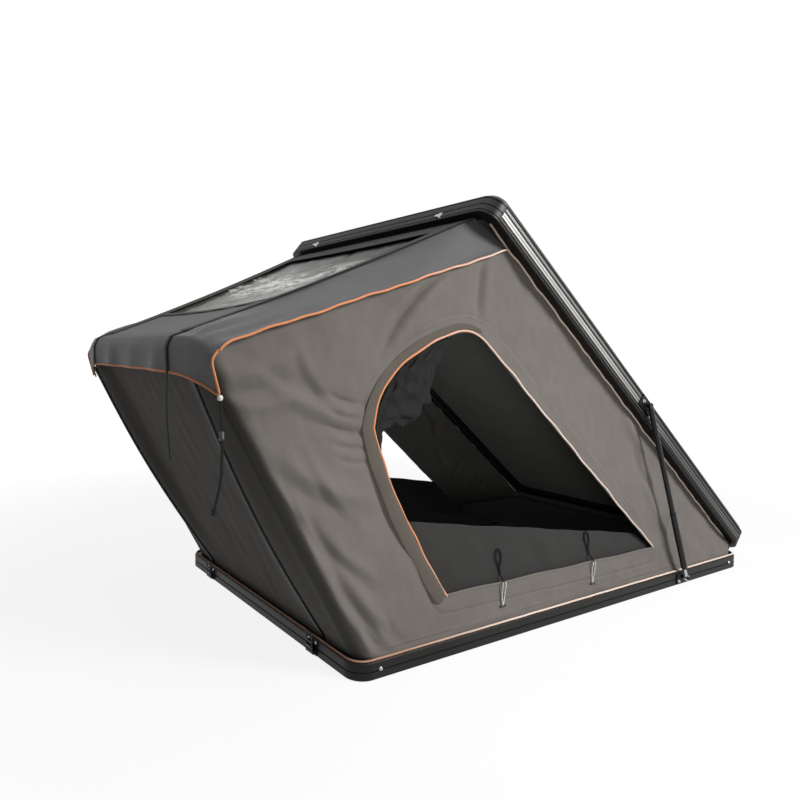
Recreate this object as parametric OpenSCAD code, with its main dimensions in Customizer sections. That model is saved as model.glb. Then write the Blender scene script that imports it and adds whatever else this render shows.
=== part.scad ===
// Hard-shell wedge roof top tent, standing open.
// Origin: centre of the underside. +X to the rear hinge, +Y to the left-hand side, +Z up.

/* [Shell] */
// Length of the shell
shell_l = 2100; // [1900:10:2300]
// Width of the shell
shell_w = 1300; // [1200:10:1400]
// Height of the base rails
base_h = 54; // [50:1:64]
// Height of the lid rails
lid_h = 89; // [80:1:110]
// Gap between the rims of base and lid when shut
rim_gap = 8; // [7.5:0.5:10]
// Angle that the lid stands open
open_angle = 40.3; // [34:0.1:46]
// Outer radius of the corner castings
corner_r = 62; // [50:1:80]

/* [Rails] */
// Thickness of a base rail's side wall
base_wall = 14; // [10:1:18]
// Width of a base rail's rim and foot
base_rim_w = 40; // [38:1:44]
// Height of the ledge that carries the floor
ledge_z = 22; // [18:1:26]
// Width of the floor ledge
ledge_w = 34; // [28:1:38]
// Thickness of the flanges
flange_t = 4; // [3:0.5:5]
// Thickness of a lid rail's side wall
lid_wall = 8; // [6:0.5:12]
// Width of a lid rail's flanges
lid_rim_w = 38; // [34:1:42]
// Depth of the grooves along the rails
groove_d = 2.5; // [1:0.5:4]
// Width of the bevel along the lid's top edge
bevel_w = 16; // [10:1:20]

/* [Panels] */
// Thickness of the floor panel
floor_t = 18; // [12:1:20]
// Thickness of the mattress
mattress_t = 50; // [40:1:60]
// Rise of the mattress crown
mattress_crown = 8; // [4:1:12]
// Thickness of the roof panel
roof_t = 10; // [6:1:11]
// Thickness of the lining under the roof
liner_t = 6; // [4:1:10]

/* [Mounting] */
// Distance between the two mounting rails
mount_rail_spacing = 800; // [700:10:900]
// Length of a mounting rail
mount_rail_l = 1700; // [1400:10:1800]
// Width of a mounting rail
mount_rail_w = 50; // [40:1:60]
// Wall of a mounting rail
mount_rail_t = 4; // [3:0.5:5]
// Distance between the bolt holes along a rail
mount_hole_spacing = 1200; // [900:10:1300]
// Diameter of the mounting bolt holes
mount_hole_d = 9; // [7:0.5:11]

/* [Hinges] */
// Diameter of a hinge pin
hinge_pin_d = 8; // [6:0.5:9]
// Diameter of a hinge knuckle
hinge_knuckle_d = 16; // [14:0.5:17]
// Distance of the hinge axis behind the rear rails
hinge_out = 11; // [10:0.5:14]
// Length of a hinge leaf
hinge_l = 120; // [90:5:160]
// Distance of each hinge from the middle
hinge_y = 480; // [400:10:540]
// Thickness of a hinge leaf
hinge_t = 3; // [2:0.5:4]

/* [Gas struts] */
// Upper pivot's distance from the hinge axis, along the shut lid
strut_top_x = 1018; // [960:1:1060]
// Upper pivot's height over the hinge axis, lid shut
strut_top_z = 52; // [44:1:60]
// Lower pivot's distance from the middle
strut_foot_x = 600; // [560:1:640]
// Lower pivot's height
strut_foot_z = 30; // [26:1:32]
// Distance of a strut's axis from the side of the shell
strut_out = 18; // [17:0.5:24]
// Diameter of a strut barrel
barrel_d = 20; // [18:0.5:21]
// Diameter of a strut's cover tube
cover_d = 24; // [23:0.5:26]
// Diameter of a strut rod
strut_rod_d = 10; // [8:0.5:12]
// Diameter of the pins that the struts turn on
strut_pin_d = 8; // [6:0.5:9]
// Length of a strut's end fitting
strut_end_l = 46; // [40:1:60]

/* [Latches] */
// Distance of each latch from the middle
latch_y = 410; // [300:10:480]
// Width of a latch lever
latch_w = 30; // [24:1:36]
// Height of a latch lever
latch_h = 36; // [30:1:38]
// Diameter of the latch pins
latch_pin_d = 6; // [4:0.5:7]
// Diameter of the bail wire
bail_d = 4; // [3:0.5:5]
// Length of a bail
bail_l = 44; // [40:1:48]

/* [Fabric] */
// Thickness of the canvas
cloth_t = 2.4; // [1.5:0.1:3]
// Diameter of the piping
piping_d = 7; // [5:0.5:7.5]
// Depth of the folds in the walls
fold_d = 9; // [4:1:14]
// Distance of the canvas from the shell's outer sides, at the rim
canvas_in = 16; // [14:1:20]
// Reach of the fly in front of the shell
fly_reach = 460; // [360:10:520]
// Height of the fly's front edge
fly_front_z = 1012; // [940:2:1060]
// Depth of the fly's front valance
valance_d = 92; // [60:2:130]
// Drop of the valance at its corners
corner_drop = 60; // [30:2:80]
// How far the hem corners are swept back
corner_back = 34; // [0:2:40]
// Height of the fly's side piping at the front
fly_side_z = 986; // [930:2:1010]
// Distance down the lid at which the side piping meets it
fly_side_down = 110; // [60:2:160]
// Distance of the fly's straps from the middle, at the lid
strap_lid_y = 570; // [500:5:590]
// Distance of the fly's straps from the middle, at the front
strap_front_y = 400; // [340:5:460]
// Width of the straps
strap_w = 13; // [8:1:25]
// Thickness of the straps
strap_t = 2; // [1:0.5:3]
// Length of a strap's loose tail below the valance
tail_l = 250; // [100:10:320]
// Diameter of the awning rods
awning_rod_d = 9; // [7:0.5:10]
// Distance of the awning rods' feet from the middle
rod_foot_y = 440; // [380:5:500]
// Bow of an awning rod
rod_bow = 26; // [10:1:40]

/* [Doors] */
// Height of the door sill
sill_z = 172; // [150:2:200]
// Height of the door's top
door_top_z = 1026; // [940:2:1060]
// Front end of the sill
door_front_x = -678; // [-720:2:-640]
// Rear end of the sill
door_rear_x = 422; // [380:2:480]
// Furthest front point of the door
door_bulge_x = -970; // [-980:2:-900]
// Height of that point
door_bulge_z = 744; // [680:2:790]
// Front end of the door's top
door_top_front_x = -640; // [-680:2:-600]
// Rear end of the door's top
door_top_rear_x = -570; // [-600:2:-540]

/* [Hidden] */
$fn = 48;

// Clearances: parts that turn, parts that pass or rest on each other, and overshoot of a cut
run_gap = 0.05;
part_gap = 0.3;
cut = 1;

// The hinge axis lies in the middle of the rim gap
half_l = shell_l / 2;
half_w = shell_w / 2;
lid_z = base_h + rim_gap;
hinge_x = half_l + hinge_out;
hinge_z = base_h + rim_gap / 2;

// A point of the shut lid, and where it is with the lid open
function lid_open(p) = let (dx = p.x - hinge_x, dz = p.z - hinge_z)
    [hinge_x + dx * cos(open_angle) + dz * sin(open_angle), p.y,
     hinge_z - dx * sin(open_angle) + dz * cos(open_angle)];
module opened() {
    translate([hinge_x, 0, hinge_z]) rotate([0, open_angle, 0]) translate([-hinge_x, 0, -hinge_z])
        children();
}
module both_sides() {
    children();
    mirror([0, 1, 0]) children();
}

// Colours
anodised = [0.09, 0.09, 0.09];
casting = [0.06, 0.06, 0.06];
steel = [0.7, 0.7, 0.72];
strut_black = [0.05, 0.05, 0.05];
canvas = [0.46, 0.44, 0.42];
fly_grey = [0.34, 0.34, 0.35];
orange = [0.88, 0.47, 0.23];

// Rail profiles: x runs inward from the outer face, y runs up
chamfer = 3;
base_groove_w = 6;
base_groove_z = base_h * 0.5;
base_profile = [[0, chamfer], [chamfer, 0], [base_rim_w, 0], [base_rim_w, flange_t],
    [base_wall, flange_t], [base_wall, ledge_z - flange_t], [ledge_w, ledge_z - flange_t],
    [ledge_w, ledge_z], [base_wall, ledge_z], [base_wall, base_h - flange_t],
    [base_rim_w, base_h - flange_t], [base_rim_w, base_h], [chamfer, base_h], [0, base_h - chamfer],
    [0, base_groove_z + base_groove_w / 2], [groove_d, base_groove_z + base_groove_w / 2 - 1],
    [groove_d, base_groove_z - base_groove_w / 2 + 1], [0, base_groove_z - base_groove_w / 2]];

// Lid side, from the rim up: thin ridge, groove, band, groove, ribbed band, groove, bevel
ridge_h = 8;
band_h = 20;
lid_groove_w = 4;
bevel_h = 19;
panel_seat = lid_h - roof_t - 1;
panel_in = bevel_w + 3;
band_z1 = ridge_h + lid_groove_w;
band_z2 = band_z1 + band_h;
rib_z2 = lid_h - bevel_h - lid_groove_w - 6;
function lid_groove(z) = [[0, z + lid_groove_w], [groove_d, z + lid_groove_w - 0.5],
    [groove_d, z + 0.5], [0, z]];
lid_profile = concat([[2, 0], [lid_rim_w, 0], [lid_rim_w, flange_t], [lid_wall, flange_t],
    [lid_wall, panel_seat - flange_t], [lid_rim_w, panel_seat - flange_t], [lid_rim_w, panel_seat],
    [panel_in, panel_seat], [panel_in, lid_h], [bevel_w, lid_h], [0, lid_h - bevel_h]],
    lid_groove(rib_z2), lid_groove(band_z2), lid_groove(ridge_h), [[0, 2]]);

// A rail along X or Y, and a quarter turn of the same profile at a corner
module side_rail(profile, z) {
    translate([-half_l + corner_r, -half_w, z]) rotate([90, 0, 90])
        linear_extrude(height = shell_l - 2 * corner_r) polygon(profile);
}
module end_rail(profile, z) {
    translate([-half_l, half_w - corner_r, z]) rotate([90, 0, 0])
        linear_extrude(height = shell_w - 2 * corner_r) polygon(profile);
}
module corner(profile, z) {
    translate([-half_l + corner_r, -half_w + corner_r, z]) rotate([0, 0, 180])
        rotate_extrude(angle = 90) polygon([for (p = profile) [corner_r - p.x, p.y]]);
}
module four_corners(profile, z) {
    for (sx = [0, 1], sy = [0, 1]) mirror([sx, 0, 0]) mirror([0, sy, 0]) corner(profile, z);
}
// A flat rectangle with round corners, and a tube bent round the same outline
module plate_outline(l, w, r) {
    square([l - 2 * r, w], center = true);
    square([l, w - 2 * r], center = true);
    for (sx = [-1, 1], sy = [-1, 1]) translate([sx * (l / 2 - r), sy * (w / 2 - r)]) circle(r);
}

// Base frame
module base_rail_right() { color(anodised) side_rail(base_profile, 0); }
module base_rail_left() { color(anodised) mirror([0, 1, 0]) side_rail(base_profile, 0); }
module base_rail_front() { color(anodised) end_rail(base_profile, 0); }
module base_rail_rear() { color(anodised) mirror([1, 0, 0]) end_rail(base_profile, 0); }
module base_corners() { color(casting) four_corners(base_profile, 0); }

module floor_panel() {
    edge = base_wall + part_gap;
    color("silver") translate([0, 0, ledge_z]) linear_extrude(height = floor_t)
        plate_outline(shell_l - 2 * edge, shell_w - 2 * edge, corner_r - edge);
}

// Channel under the floor with two bolt holes in its web
module mount_rail() {
    lip = mount_rail_w / 4;
    color("dimgray") translate([0, -mount_rail_spacing / 2, 0]) difference() {
        rotate([90, 0, 90]) translate([-mount_rail_w / 2, 0, -mount_rail_l / 2])
            linear_extrude(height = mount_rail_l) difference() {
                square([mount_rail_w, ledge_z]);
                translate([mount_rail_t, mount_rail_t])
                    square([mount_rail_w - 2 * mount_rail_t, ledge_z - 2 * mount_rail_t]);
                translate([lip, ledge_z / 2]) square([mount_rail_w - 2 * lip, ledge_z]);
            }
        for (sx = [-1, 1]) translate([sx * mount_hole_spacing / 2, 0, -cut])
            cylinder(d = mount_hole_d, h = mount_rail_t + 2 * cut);
    }
}
module mount_rail_right() { mount_rail(); }
module mount_rail_left() { mirror([0, 1, 0]) mount_rail(); }

// Rubber strip near the inner edge of the rim
seal_w = 7;
seal_in = base_rim_w - 9;
module base_seal() {
    color([0.07, 0.07, 0.07]) translate([0, 0, base_h]) linear_extrude(height = rim_gap - part_gap)
        difference() {
            plate_outline(shell_l - 2 * seal_in, shell_w - 2 * seal_in, corner_r - seal_in);
            plate_outline(shell_l - 2 * (seal_in + seal_w), shell_w - 2 * (seal_in + seal_w),
                corner_r - seal_in - seal_w);
        }
}

// Piping round the rim, flattened a little where it lies on the rail
piping_in = 8;
module piping_section() { translate([corner_r - piping_in, piping_d / 2]) circle(d = piping_d); }
module base_piping() {
    color(orange) translate([0, 0, base_h]) for (sx = [0, 1], sy = [0, 1])
        mirror([sx, 0, 0]) mirror([0, sy, 0]) {
            translate([-half_l + corner_r, -half_w + corner_r, 0]) {
                rotate([0, 0, 180]) rotate_extrude(angle = 90) piping_section();
                rotate([90, 0, 90]) linear_extrude(height = half_l - corner_r)
                    mirror([1, 0]) piping_section();
                rotate([90, 0, 0]) translate([0, 0, -half_w + corner_r])
                    linear_extrude(height = half_w - corner_r) mirror([1, 0]) piping_section();
            }
        }
}

// Hinges: two knuckles on the base leaf, one between them on the lid leaf
knuckle_l = hinge_l / 3;
leaf_h = base_h - 10;
module knuckle(y, l, block_z) {
    difference() {
        union() {
            translate([hinge_x, y + l / 2, hinge_z]) rotate([90, 0, 0]) cylinder(d = hinge_knuckle_d, h = l);
            translate([half_l, y - l / 2, block_z]) cube([hinge_out, l, hinge_knuckle_d / 2]);
        }
        translate([hinge_x, y + l / 2 + cut, hinge_z]) rotate([90, 0, 0])
            cylinder(d = hinge_pin_d + 2 * run_gap, h = l + 2 * cut);
    }
}
module hinge_base_leaf() {
    side_l = knuckle_l - part_gap;
    translate([half_l, -hinge_l / 2, base_h - leaf_h]) cube([hinge_t, hinge_l, leaf_h]);
    for (sy = [-1, 1])
        knuckle(sy * (hinge_l - side_l) / 2, side_l, hinge_z - hinge_knuckle_d / 2);
}
module hinge_base_leaves() {
    color(casting) for (sy = [-1, 1]) translate([0, sy * hinge_y, 0]) hinge_base_leaf();
}
module hinge_pins() {
    color(steel) for (sy = [-1, 1]) translate([hinge_x, sy * hinge_y + hinge_l / 2, hinge_z])
        rotate([90, 0, 0]) {
            cylinder(d = hinge_pin_d, h = hinge_l);
            translate([0, 0, -hinge_t]) cylinder(d = hinge_pin_d + 4, h = hinge_t);
            translate([0, 0, hinge_l]) cylinder(d = hinge_pin_d + 4, h = hinge_t);
        }
}
module hinge_lid_leaves() {
    color(casting) opened() for (sy = [-1, 1]) translate([0, sy * hinge_y, 0]) {
        translate([half_l, -hinge_l / 2, lid_z]) cube([hinge_t, hinge_l, leaf_h]);
        knuckle(0, knuckle_l - part_gap, hinge_z);
    }
}

// Lid frame
module lid_rail_right() { color(anodised) opened() side_rail(lid_profile, lid_z); }
module lid_rail_left() { color(anodised) opened() mirror([0, 1, 0]) side_rail(lid_profile, lid_z); }
module lid_rail_front() { color(anodised) opened() end_rail(lid_profile, lid_z); }
module lid_rail_rear() { color(anodised) opened() mirror([1, 0, 0]) end_rail(lid_profile, lid_z); }
module lid_corners() { color(casting) opened() four_corners(lid_profile, lid_z); }
module lid_skin() {
    edge = panel_in + part_gap;
    color(anodised) opened() translate([0, 0, lid_z + panel_seat]) linear_extrude(height = roof_t)
        plate_outline(shell_l - 2 * edge, shell_w - 2 * edge, corner_r - edge);
}
module lid_liner() {
    edge = lid_wall + part_gap;
    color("dimgray") opened() translate([0, 0, lid_z + panel_seat - flange_t - liner_t])
        linear_extrude(height = liner_t)
            plate_outline(shell_l - 2 * edge, shell_w - 2 * edge, corner_r - edge);
}
// Piping along the inner edge of each side flange
lid_piping_y = half_w - lid_rim_w - piping_d / 2 - part_gap;
lid_piping_z = lid_z + flange_t / 2;
lid_piping_l = shell_l - 2 * (corner_r + 4);
module lid_piping() {
    color(orange) opened() for (sy = [-1, 1])
        translate([-lid_piping_l / 2, sy * lid_piping_y, lid_piping_z]) rotate([0, 90, 0])
            cylinder(d = piping_d, h = lid_piping_l);
}

// Gas struts, outside the sides: the rod turns on the base pin and the barrel slides on the rod
strut_top = [hinge_x - strut_top_x, 0, hinge_z + strut_top_z];
strut_top_open = lid_open(strut_top);
strut_foot = [strut_foot_x, 0, strut_foot_z];
strut_long = norm(strut_top_open - strut_foot);
strut_short = norm(strut_top - strut_foot);
strut_tilt = atan2(strut_top_open.x - strut_foot.x, strut_top_open.z - strut_foot.z);
bracket_t = 4;
eye_d = 22;
eye_t = 14;
cover_cap_l = 6;
barrel_wall = 2;
guide_l = 12;
piston_l = 14;
barrel_top = strut_long - eye_d / 2 - 4;
barrel_l = strut_short - eye_d / 2 - 4 - strut_end_l - cover_cap_l - 6;
barrel_foot = barrel_top - barrel_l;
cover_end = barrel_foot + 30;
piston_z = barrel_foot + guide_l + 6;
module on_strut() {
    translate([strut_foot.x, -half_w - strut_out, strut_foot.z]) rotate([0, strut_tilt, 0]) children();
}
module strut_rod() {
    color(steel) on_strut() difference() {
        union() {
            rotate([90, 0, 0]) cylinder(d = eye_d, h = eye_t, center = true);
            cylinder(d = eye_t - 1, h = strut_end_l);
            cylinder(d = strut_rod_d, h = piston_z);
            translate([0, 0, piston_z])
                cylinder(d = barrel_d - 2 * barrel_wall - 2 * part_gap, h = piston_l);
        }
        rotate([90, 0, 0]) cylinder(d = strut_pin_d + 2 * run_gap, h = eye_t + 2 * cut, center = true);
    }
}
module strut_cover() {
    color(strut_black) on_strut() translate([0, 0, strut_end_l]) difference() {
        cylinder(d = cover_d, h = cover_end - strut_end_l);
        translate([0, 0, cover_cap_l]) cylinder(d = barrel_d + 2 * part_gap + 0.4, h = cover_end);
        translate([0, 0, -cut]) cylinder(d = strut_rod_d + 2 * run_gap, h = cover_cap_l + 2 * cut);
    }
}
lid_boss_gap = 2.6;
module strut_barrel() {
    boss_l = strut_out - bracket_t - lid_boss_gap;
    color(strut_black) on_strut() {
        translate([0, 0, barrel_foot]) difference() {
            cylinder(d = barrel_d, h = barrel_l);
            translate([0, 0, guide_l])
                cylinder(d = barrel_d - 2 * barrel_wall, h = barrel_l - 2 * guide_l);
            translate([0, 0, -cut]) cylinder(d = strut_rod_d + 2 * run_gap, h = guide_l + 2 * cut);
        }
        translate([0, 0, barrel_top]) cylinder(d = eye_t - 1, h = strut_long - barrel_top);
        translate([0, eye_t / 2, strut_long]) rotate([90, 0, 0]) cylinder(d = eye_d, h = eye_t);
        translate([0, boss_l, strut_long]) rotate([90, 0, 0]) cylinder(d = eye_t, h = boss_l);
    }
}
module strut_rod_right() { strut_rod(); }
module strut_cover_right() { strut_cover(); }
module strut_barrel_right() { strut_barrel(); }
module strut_rod_left() { mirror([0, 1, 0]) strut_rod(); }
module strut_cover_left() { mirror([0, 1, 0]) strut_cover(); }
module strut_barrel_left() { mirror([0, 1, 0]) strut_barrel(); }

// Brackets: a plate with two bolt heads, and on the base a pin with a head
bracket_l = 84;
bolt_d = 10;
bolt_h = 2;
module strut_base_brackets() {
    plate_h = base_h - 2 * chamfer - 4;
    pin_l = strut_out + eye_t / 2 + 1;
    color(steel) both_sides() translate([strut_foot.x, -half_w, 0]) {
        translate([-bracket_l / 2, -bracket_t, (base_h - plate_h) / 2]) cube([bracket_l, bracket_t, plate_h]);
        for (sx = [-1, 1]) translate([sx * bracket_l / 3, -bracket_t, strut_foot.z]) rotate([90, 0, 0])
            cylinder(d = bolt_d, h = bolt_h);
        translate([0, 0, strut_foot.z]) rotate([90, 0, 0]) {
            cylinder(d = strut_pin_d, h = pin_l + 4);
            cylinder(d = strut_pin_d + 6, h = strut_out - eye_t / 2 - part_gap);
            translate([0, 0, pin_l]) cylinder(d = strut_pin_d + 6, h = 4);
        }
    }
}
module strut_lid_brackets() {
    plate_h = 46;
    color(casting) opened() both_sides() translate([strut_top.x, -half_w, strut_top.z]) {
        translate([-bracket_l / 2, -bracket_t, -plate_h / 2]) cube([bracket_l, bracket_t, plate_h]);
        for (sx = [-1, 1]) translate([sx * bracket_l / 3, -bracket_t, 0]) rotate([90, 0, 0])
            cylinder(d = bolt_d, h = bolt_h);
    }
}

// Draw latches on the front: plate with ears and pin, lever, wire bail, and a hook on the lid
latch_pin_out = 10;
latch_pin_z = 14;
latch_plate_t = 3;
ear_t = 5;
lever_t = 3.5;
lever_barrel_d = latch_pin_d + 6;
latch_x = -half_l - latch_pin_out;
bail_pivot_z = latch_pin_z + latch_h / 2;
bail_x = latch_x - lever_t / 2 - bail_d / 2 - 1;
bail_hub_d = bail_d + 4;
module at_latches(side) { translate([0, side * latch_y, 0]) children(); }
module latch_plates() {
    plate_w = latch_w + 2 * ear_t + 8;
    color(steel) for (side = [-1, 1]) at_latches(side) {
        translate([-half_l - latch_plate_t, -plate_w / 2, chamfer])
            cube([latch_plate_t, plate_w, base_h - 2 * chamfer]);
        for (sy = [-1, 1]) translate([0, sy * (latch_w + ear_t + 2 * part_gap) / 2 + ear_t / 2, 0])
            rotate([90, 0, 0]) {
                translate([latch_x, latch_pin_z]) cylinder(d = lever_barrel_d, h = ear_t);
                translate([latch_x, latch_pin_z - lever_barrel_d / 2])
                    cube([latch_pin_out, lever_barrel_d, ear_t]);
            }
        translate([latch_x, latch_w / 2 + ear_t, latch_pin_z]) rotate([90, 0, 0])
            cylinder(d = latch_pin_d, h = latch_w + 2 * ear_t);
    }
}
module latch_lever(side) {
    color(steel) at_latches(side) difference() {
        union() {
            translate([latch_x, latch_w / 2, latch_pin_z]) rotate([90, 0, 0])
                cylinder(d = lever_barrel_d, h = latch_w);
            translate([latch_x - lever_t / 2, -latch_w / 2, latch_pin_z]) cube([lever_t, latch_w, latch_h]);
            // Finger lip at the free end
            translate([latch_x - 2 * lever_t, -latch_w / 2, latch_pin_z + latch_h - lever_t])
                cube([2 * lever_t, latch_w, lever_t]);
            // Hub that the bail turns in
            translate([bail_x, latch_w / 2, bail_pivot_z]) rotate([90, 0, 0])
                cylinder(d = bail_hub_d, h = latch_w);
        }
        translate([latch_x, latch_w, latch_pin_z]) rotate([90, 0, 0])
            cylinder(d = latch_pin_d + 2 * run_gap, h = 2 * latch_w);
        translate([bail_x, latch_w, bail_pivot_z]) rotate([90, 0, 0])
            cylinder(d = bail_d + 2 * run_gap, h = 2 * latch_w);
    }
}
module latch_bail(side) {
    leg_y = latch_w / 2 + bail_d / 2 + part_gap;
    reach = bail_l - bail_d / 2;
    color(steel) at_latches(side) translate([bail_x, 0, bail_pivot_z]) {
        for (z = [0, reach]) translate([0, leg_y + bail_d / 2, z]) rotate([90, 0, 0])
            cylinder(d = bail_d, h = 2 * leg_y + bail_d);
        for (sy = [-1, 1]) translate([0, sy * leg_y, 0]) cylinder(d = bail_d, h = reach);
    }
}
module latch_lever_right() { latch_lever(-1); }
module latch_lever_left() { latch_lever(1); }
module latch_bail_right() { latch_bail(-1); }
module latch_bail_left() { latch_bail(1); }
module latch_keepers() {
    keeper_w = latch_w / 2;
    keeper_h = 26;
    hook_out = -half_l - (bail_x + bail_d / 2) - 1;
    hook_z = bail_pivot_z + bail_l - bail_d - 7;
    color(steel) opened() for (side = [-1, 1]) at_latches(side) {
        translate([-half_l - latch_plate_t, -keeper_w / 2, lid_z + 4])
            cube([latch_plate_t, keeper_w, keeper_h]);
        translate([-half_l - hook_out, -keeper_w / 2, hook_z]) cube([hook_out, keeper_w, 4]);
        translate([-half_l - hook_out, -keeper_w / 2, hook_z]) cube([3, keeper_w, 10]);
    }
}

// Cloth: a sheet from a grid of points, its back offset by a vector, with a hole left at some cells.
// With ring set, the last row joins the first.
module sheet(rows, back, ring = false, hole = [0, 0, 0, 0]) {
    n = len(rows);
    m = len(rows[0]);
    ni = ring ? n : n - 1;
    count = n * m;
    pts = concat([for (r = rows) each r], [for (r = rows) for (p = r) p + back]);
    function open_cell(i, j) = i >= hole[0] && i < hole[1] && j >= hole[2] && j < hole[3];
    function solid(i, j) = (ring || (i >= 0 && i < ni)) && j >= 0 && j < m - 1 && !open_cell(i, j);
    function id(i, j) = ((i + n) % n) * m + j;
    function quad(a, b, c, d) = [[a, b, c], [a, c, d]];
    faces = [for (i = [0:ni - 1], j = [0:m - 2]) if (solid(i, j)) each concat(
        quad(id(i, j), id(i + 1, j), id(i + 1, j + 1), id(i, j + 1)),
        quad(count + id(i + 1, j + 1), count + id(i + 1, j), count + id(i, j), count + id(i, j + 1)),
        solid(i - 1, j) ? [] : quad(id(i, j + 1), count + id(i, j + 1), count + id(i, j), id(i, j)),
        solid(i + 1, j) ? []
            : quad(id(i + 1, j), count + id(i + 1, j), count + id(i + 1, j + 1), id(i + 1, j + 1)),
        solid(i, j - 1) ? [] : quad(id(i, j), count + id(i, j), count + id(i + 1, j), id(i + 1, j)),
        solid(i, j + 1) ? []
            : quad(id(i + 1, j + 1), count + id(i + 1, j + 1), count + id(i, j + 1), id(i, j + 1)))];
    polyhedron(points = pts, faces = faces);
}
// A tube along a route, closed to a loop if ring is set; radii may change along it
module tube(route, radii, sides, ring = false) {
    n = len(route);
    function tangent(k) = let (
        a = route[ring ? (k + n - 1) % n : max(k - 1, 0)],
        b = route[ring ? (k + 1) % n : min(k + 1, n - 1)]) (b - a) / norm(b - a);
    function side_of(t) = let (s = abs(t.y) < 0.9 ? cross(t, [0, 1, 0]) : cross(t, [0, 0, 1])) s / norm(s);
    pts = [for (k = [0:n - 1]) let (t = tangent(k), s = side_of(t), u = cross(s, t))
        for (a = [0:sides - 1]) route[k] + radii[k] * (cos(360 * a / sides) * s + sin(360 * a / sides) * u)];
    last = ring ? n - 1 : n - 2;
    skin = [for (k = [0:last], a = [0:sides - 1]) let (k2 = (k + 1) % n, a2 = (a + 1) % sides)
        each [[k * sides + a, k2 * sides + a2, k2 * sides + a],
            [k * sides + a, k * sides + a2, k2 * sides + a2]]];
    caps = ring ? [] : [for (a = [1:sides - 2]) each [[0, a + 1, a],
        [(n - 1) * sides, (n - 1) * sides + a, (n - 1) * sides + a + 1]]];
    polyhedron(points = pts, faces = concat(skin, caps));
}
function mix(a, b, t) = a + (b - a) * t;
function flat(p) = [p.x, p.z];
// Points along a polyline of corners, with a number of steps on each side
function along(corners, steps) = [for (k = [0:len(corners) - 2], s = [0:steps[k] - 1])
    mix(corners[k], corners[k + 1], s / steps[k])];

// Side wall outline in X and Z, from the rear along the rim, up the front and back along fly and lid
canvas_z = base_h + part_gap;
bend_in = corner_r - piping_in - piping_d / 2 - part_gap;
wall_front_x = -half_l + corner_r - sqrt(pow(bend_in, 2) - pow(corner_r - canvas_in, 2)) + piping_d;
wall_rear_x = half_l - corner_r - 10;
lid_seam_z = lid_piping_z - piping_d / 2 - part_gap;
lid_seam_front = -half_l + corner_r + 4 + fly_side_down;
fly_x = -half_l - fly_reach;
tip = [fly_x + 18 + corner_back, fly_front_z - valance_d - corner_drop];
fly_corner = [fly_x + 22, fly_side_z];
wall_outline = [[wall_rear_x, canvas_z], [wall_front_x, canvas_z], tip, fly_corner,
    flat(lid_open([lid_seam_front, 0, lid_seam_z])), flat(lid_open([wall_rear_x + 24, 0, lid_seam_z])),
    [wall_rear_x, canvas_z]];
wall_steps = [17, 10, 2, 10, 16, 1];

// Door outline: straight sill and rear side, round front
door_mid = [-0.3 * half_l, 0.5 * (sill_z + door_top_z) - 60];
function arc_corner(a, b, c, n) = [for (k = [0:n - 1]) let (t = k / n)
    mix(mix(a, b, t), mix(b, c, t), t)];
door_turn_x = 70;
door_turn_z = 40;
door_swell = [66, 20];
door_shoulder = 80;
door_outline = concat(
    [[door_rear_x, sill_z], [door_front_x, sill_z]],
    arc_corner([door_front_x, sill_z], [door_bulge_x + door_swell.x, mix(sill_z, door_bulge_z, 0.6)],
        [door_bulge_x, door_bulge_z], 6),
    arc_corner([door_bulge_x, door_bulge_z], [door_bulge_x + door_swell.y, door_top_z - door_shoulder],
        [door_top_front_x, door_top_z], 6),
    arc_corner([door_top_front_x, door_top_z], [door_top_rear_x + 20, door_top_z + 14],
        [door_top_rear_x + door_turn_x, door_top_z - door_turn_z], 4),
    [[door_top_rear_x + door_turn_x, door_top_z - door_turn_z], [door_rear_x, sill_z]]);

// Distance from the middle of the door to an outline, along a direction
function reach_of(dir, outline) = max([for (k = [0:len(outline) - 2]) let (
    a = outline[k] - door_mid, e = outline[k + 1] - outline[k],
    det = dir.x * e.y - dir.y * e.x,
    t = abs(det) < 1e-9 ? -1 : (a.x * e.y - a.y * e.x) / det,
    s = abs(det) < 1e-9 ? -1 : (a.x * dir.y - a.y * dir.x) / det)
    s >= -1e-6 && s <= 1 + 1e-6 && t > 0 ? t : 0]);

// Depth of the wall: it leans in to the lid, and folds run from its corners
lean_top = half_w - lid_piping_y;
function lean(p) = let (h = max(0, min(1, (p.y - canvas_z) / (flat(lid_open([p.x, 0, lid_seam_z])).y))))
    half_w - mix(canvas_in, lean_top, h);
function edge_fade(t) = sin(180 * max(0, min(1, t)));
fold_reach = 240;
function fold(p) = let (
        a = atan2(p.y - canvas_z, wall_front_x - p.x + fold_reach),
        r = norm([p.x - wall_front_x, p.y - canvas_z]))
    fold_d * 0.7 * sin(a * 14) * exp(-pow((r - 330) / 260, 2))
    + fold_d * 0.5 * sin((p.x - 0.6 * p.y) * 0.55) * exp(-pow((p.x + 950) / 420, 2))
    + fold_d * 0.4 * sin((p.x + 1.2 * p.y) * 0.8) * exp(-pow((p.x - 620) / 260, 2));
ring_rows = [0, 0.15, 0.35, 0.57, 0.8, 1];
wall_ring = [for (q = along(wall_outline, wall_steps)) let (dir = q - door_mid,
        inner = door_mid + dir * reach_of(dir, door_outline))
    [for (t = ring_rows) let (p = mix(inner, q, t))
        [p.x, cloth_t - lean(p) + fold(p) * edge_fade(t), p.y]]];
module wall() { color(canvas) sheet(wall_ring, [0, -cloth_t, 0], ring = true); }
module wall_right() { wall(); }
module wall_left() { mirror([0, 1, 0]) wall(); }

// Door edge piping stands just outside the door's edge
door_edge = [for (r = wall_ring) r[0] + [0, -cloth_t - piping_d / 2 - part_gap, 0]];
module door_piping() {
    color(orange) tube(door_edge, [for (p = door_edge) piping_d / 2], 6, ring = true);
}
module door_piping_right() { door_piping(); }
module door_piping_left() { mirror([0, 1, 0]) door_piping(); }

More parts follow.
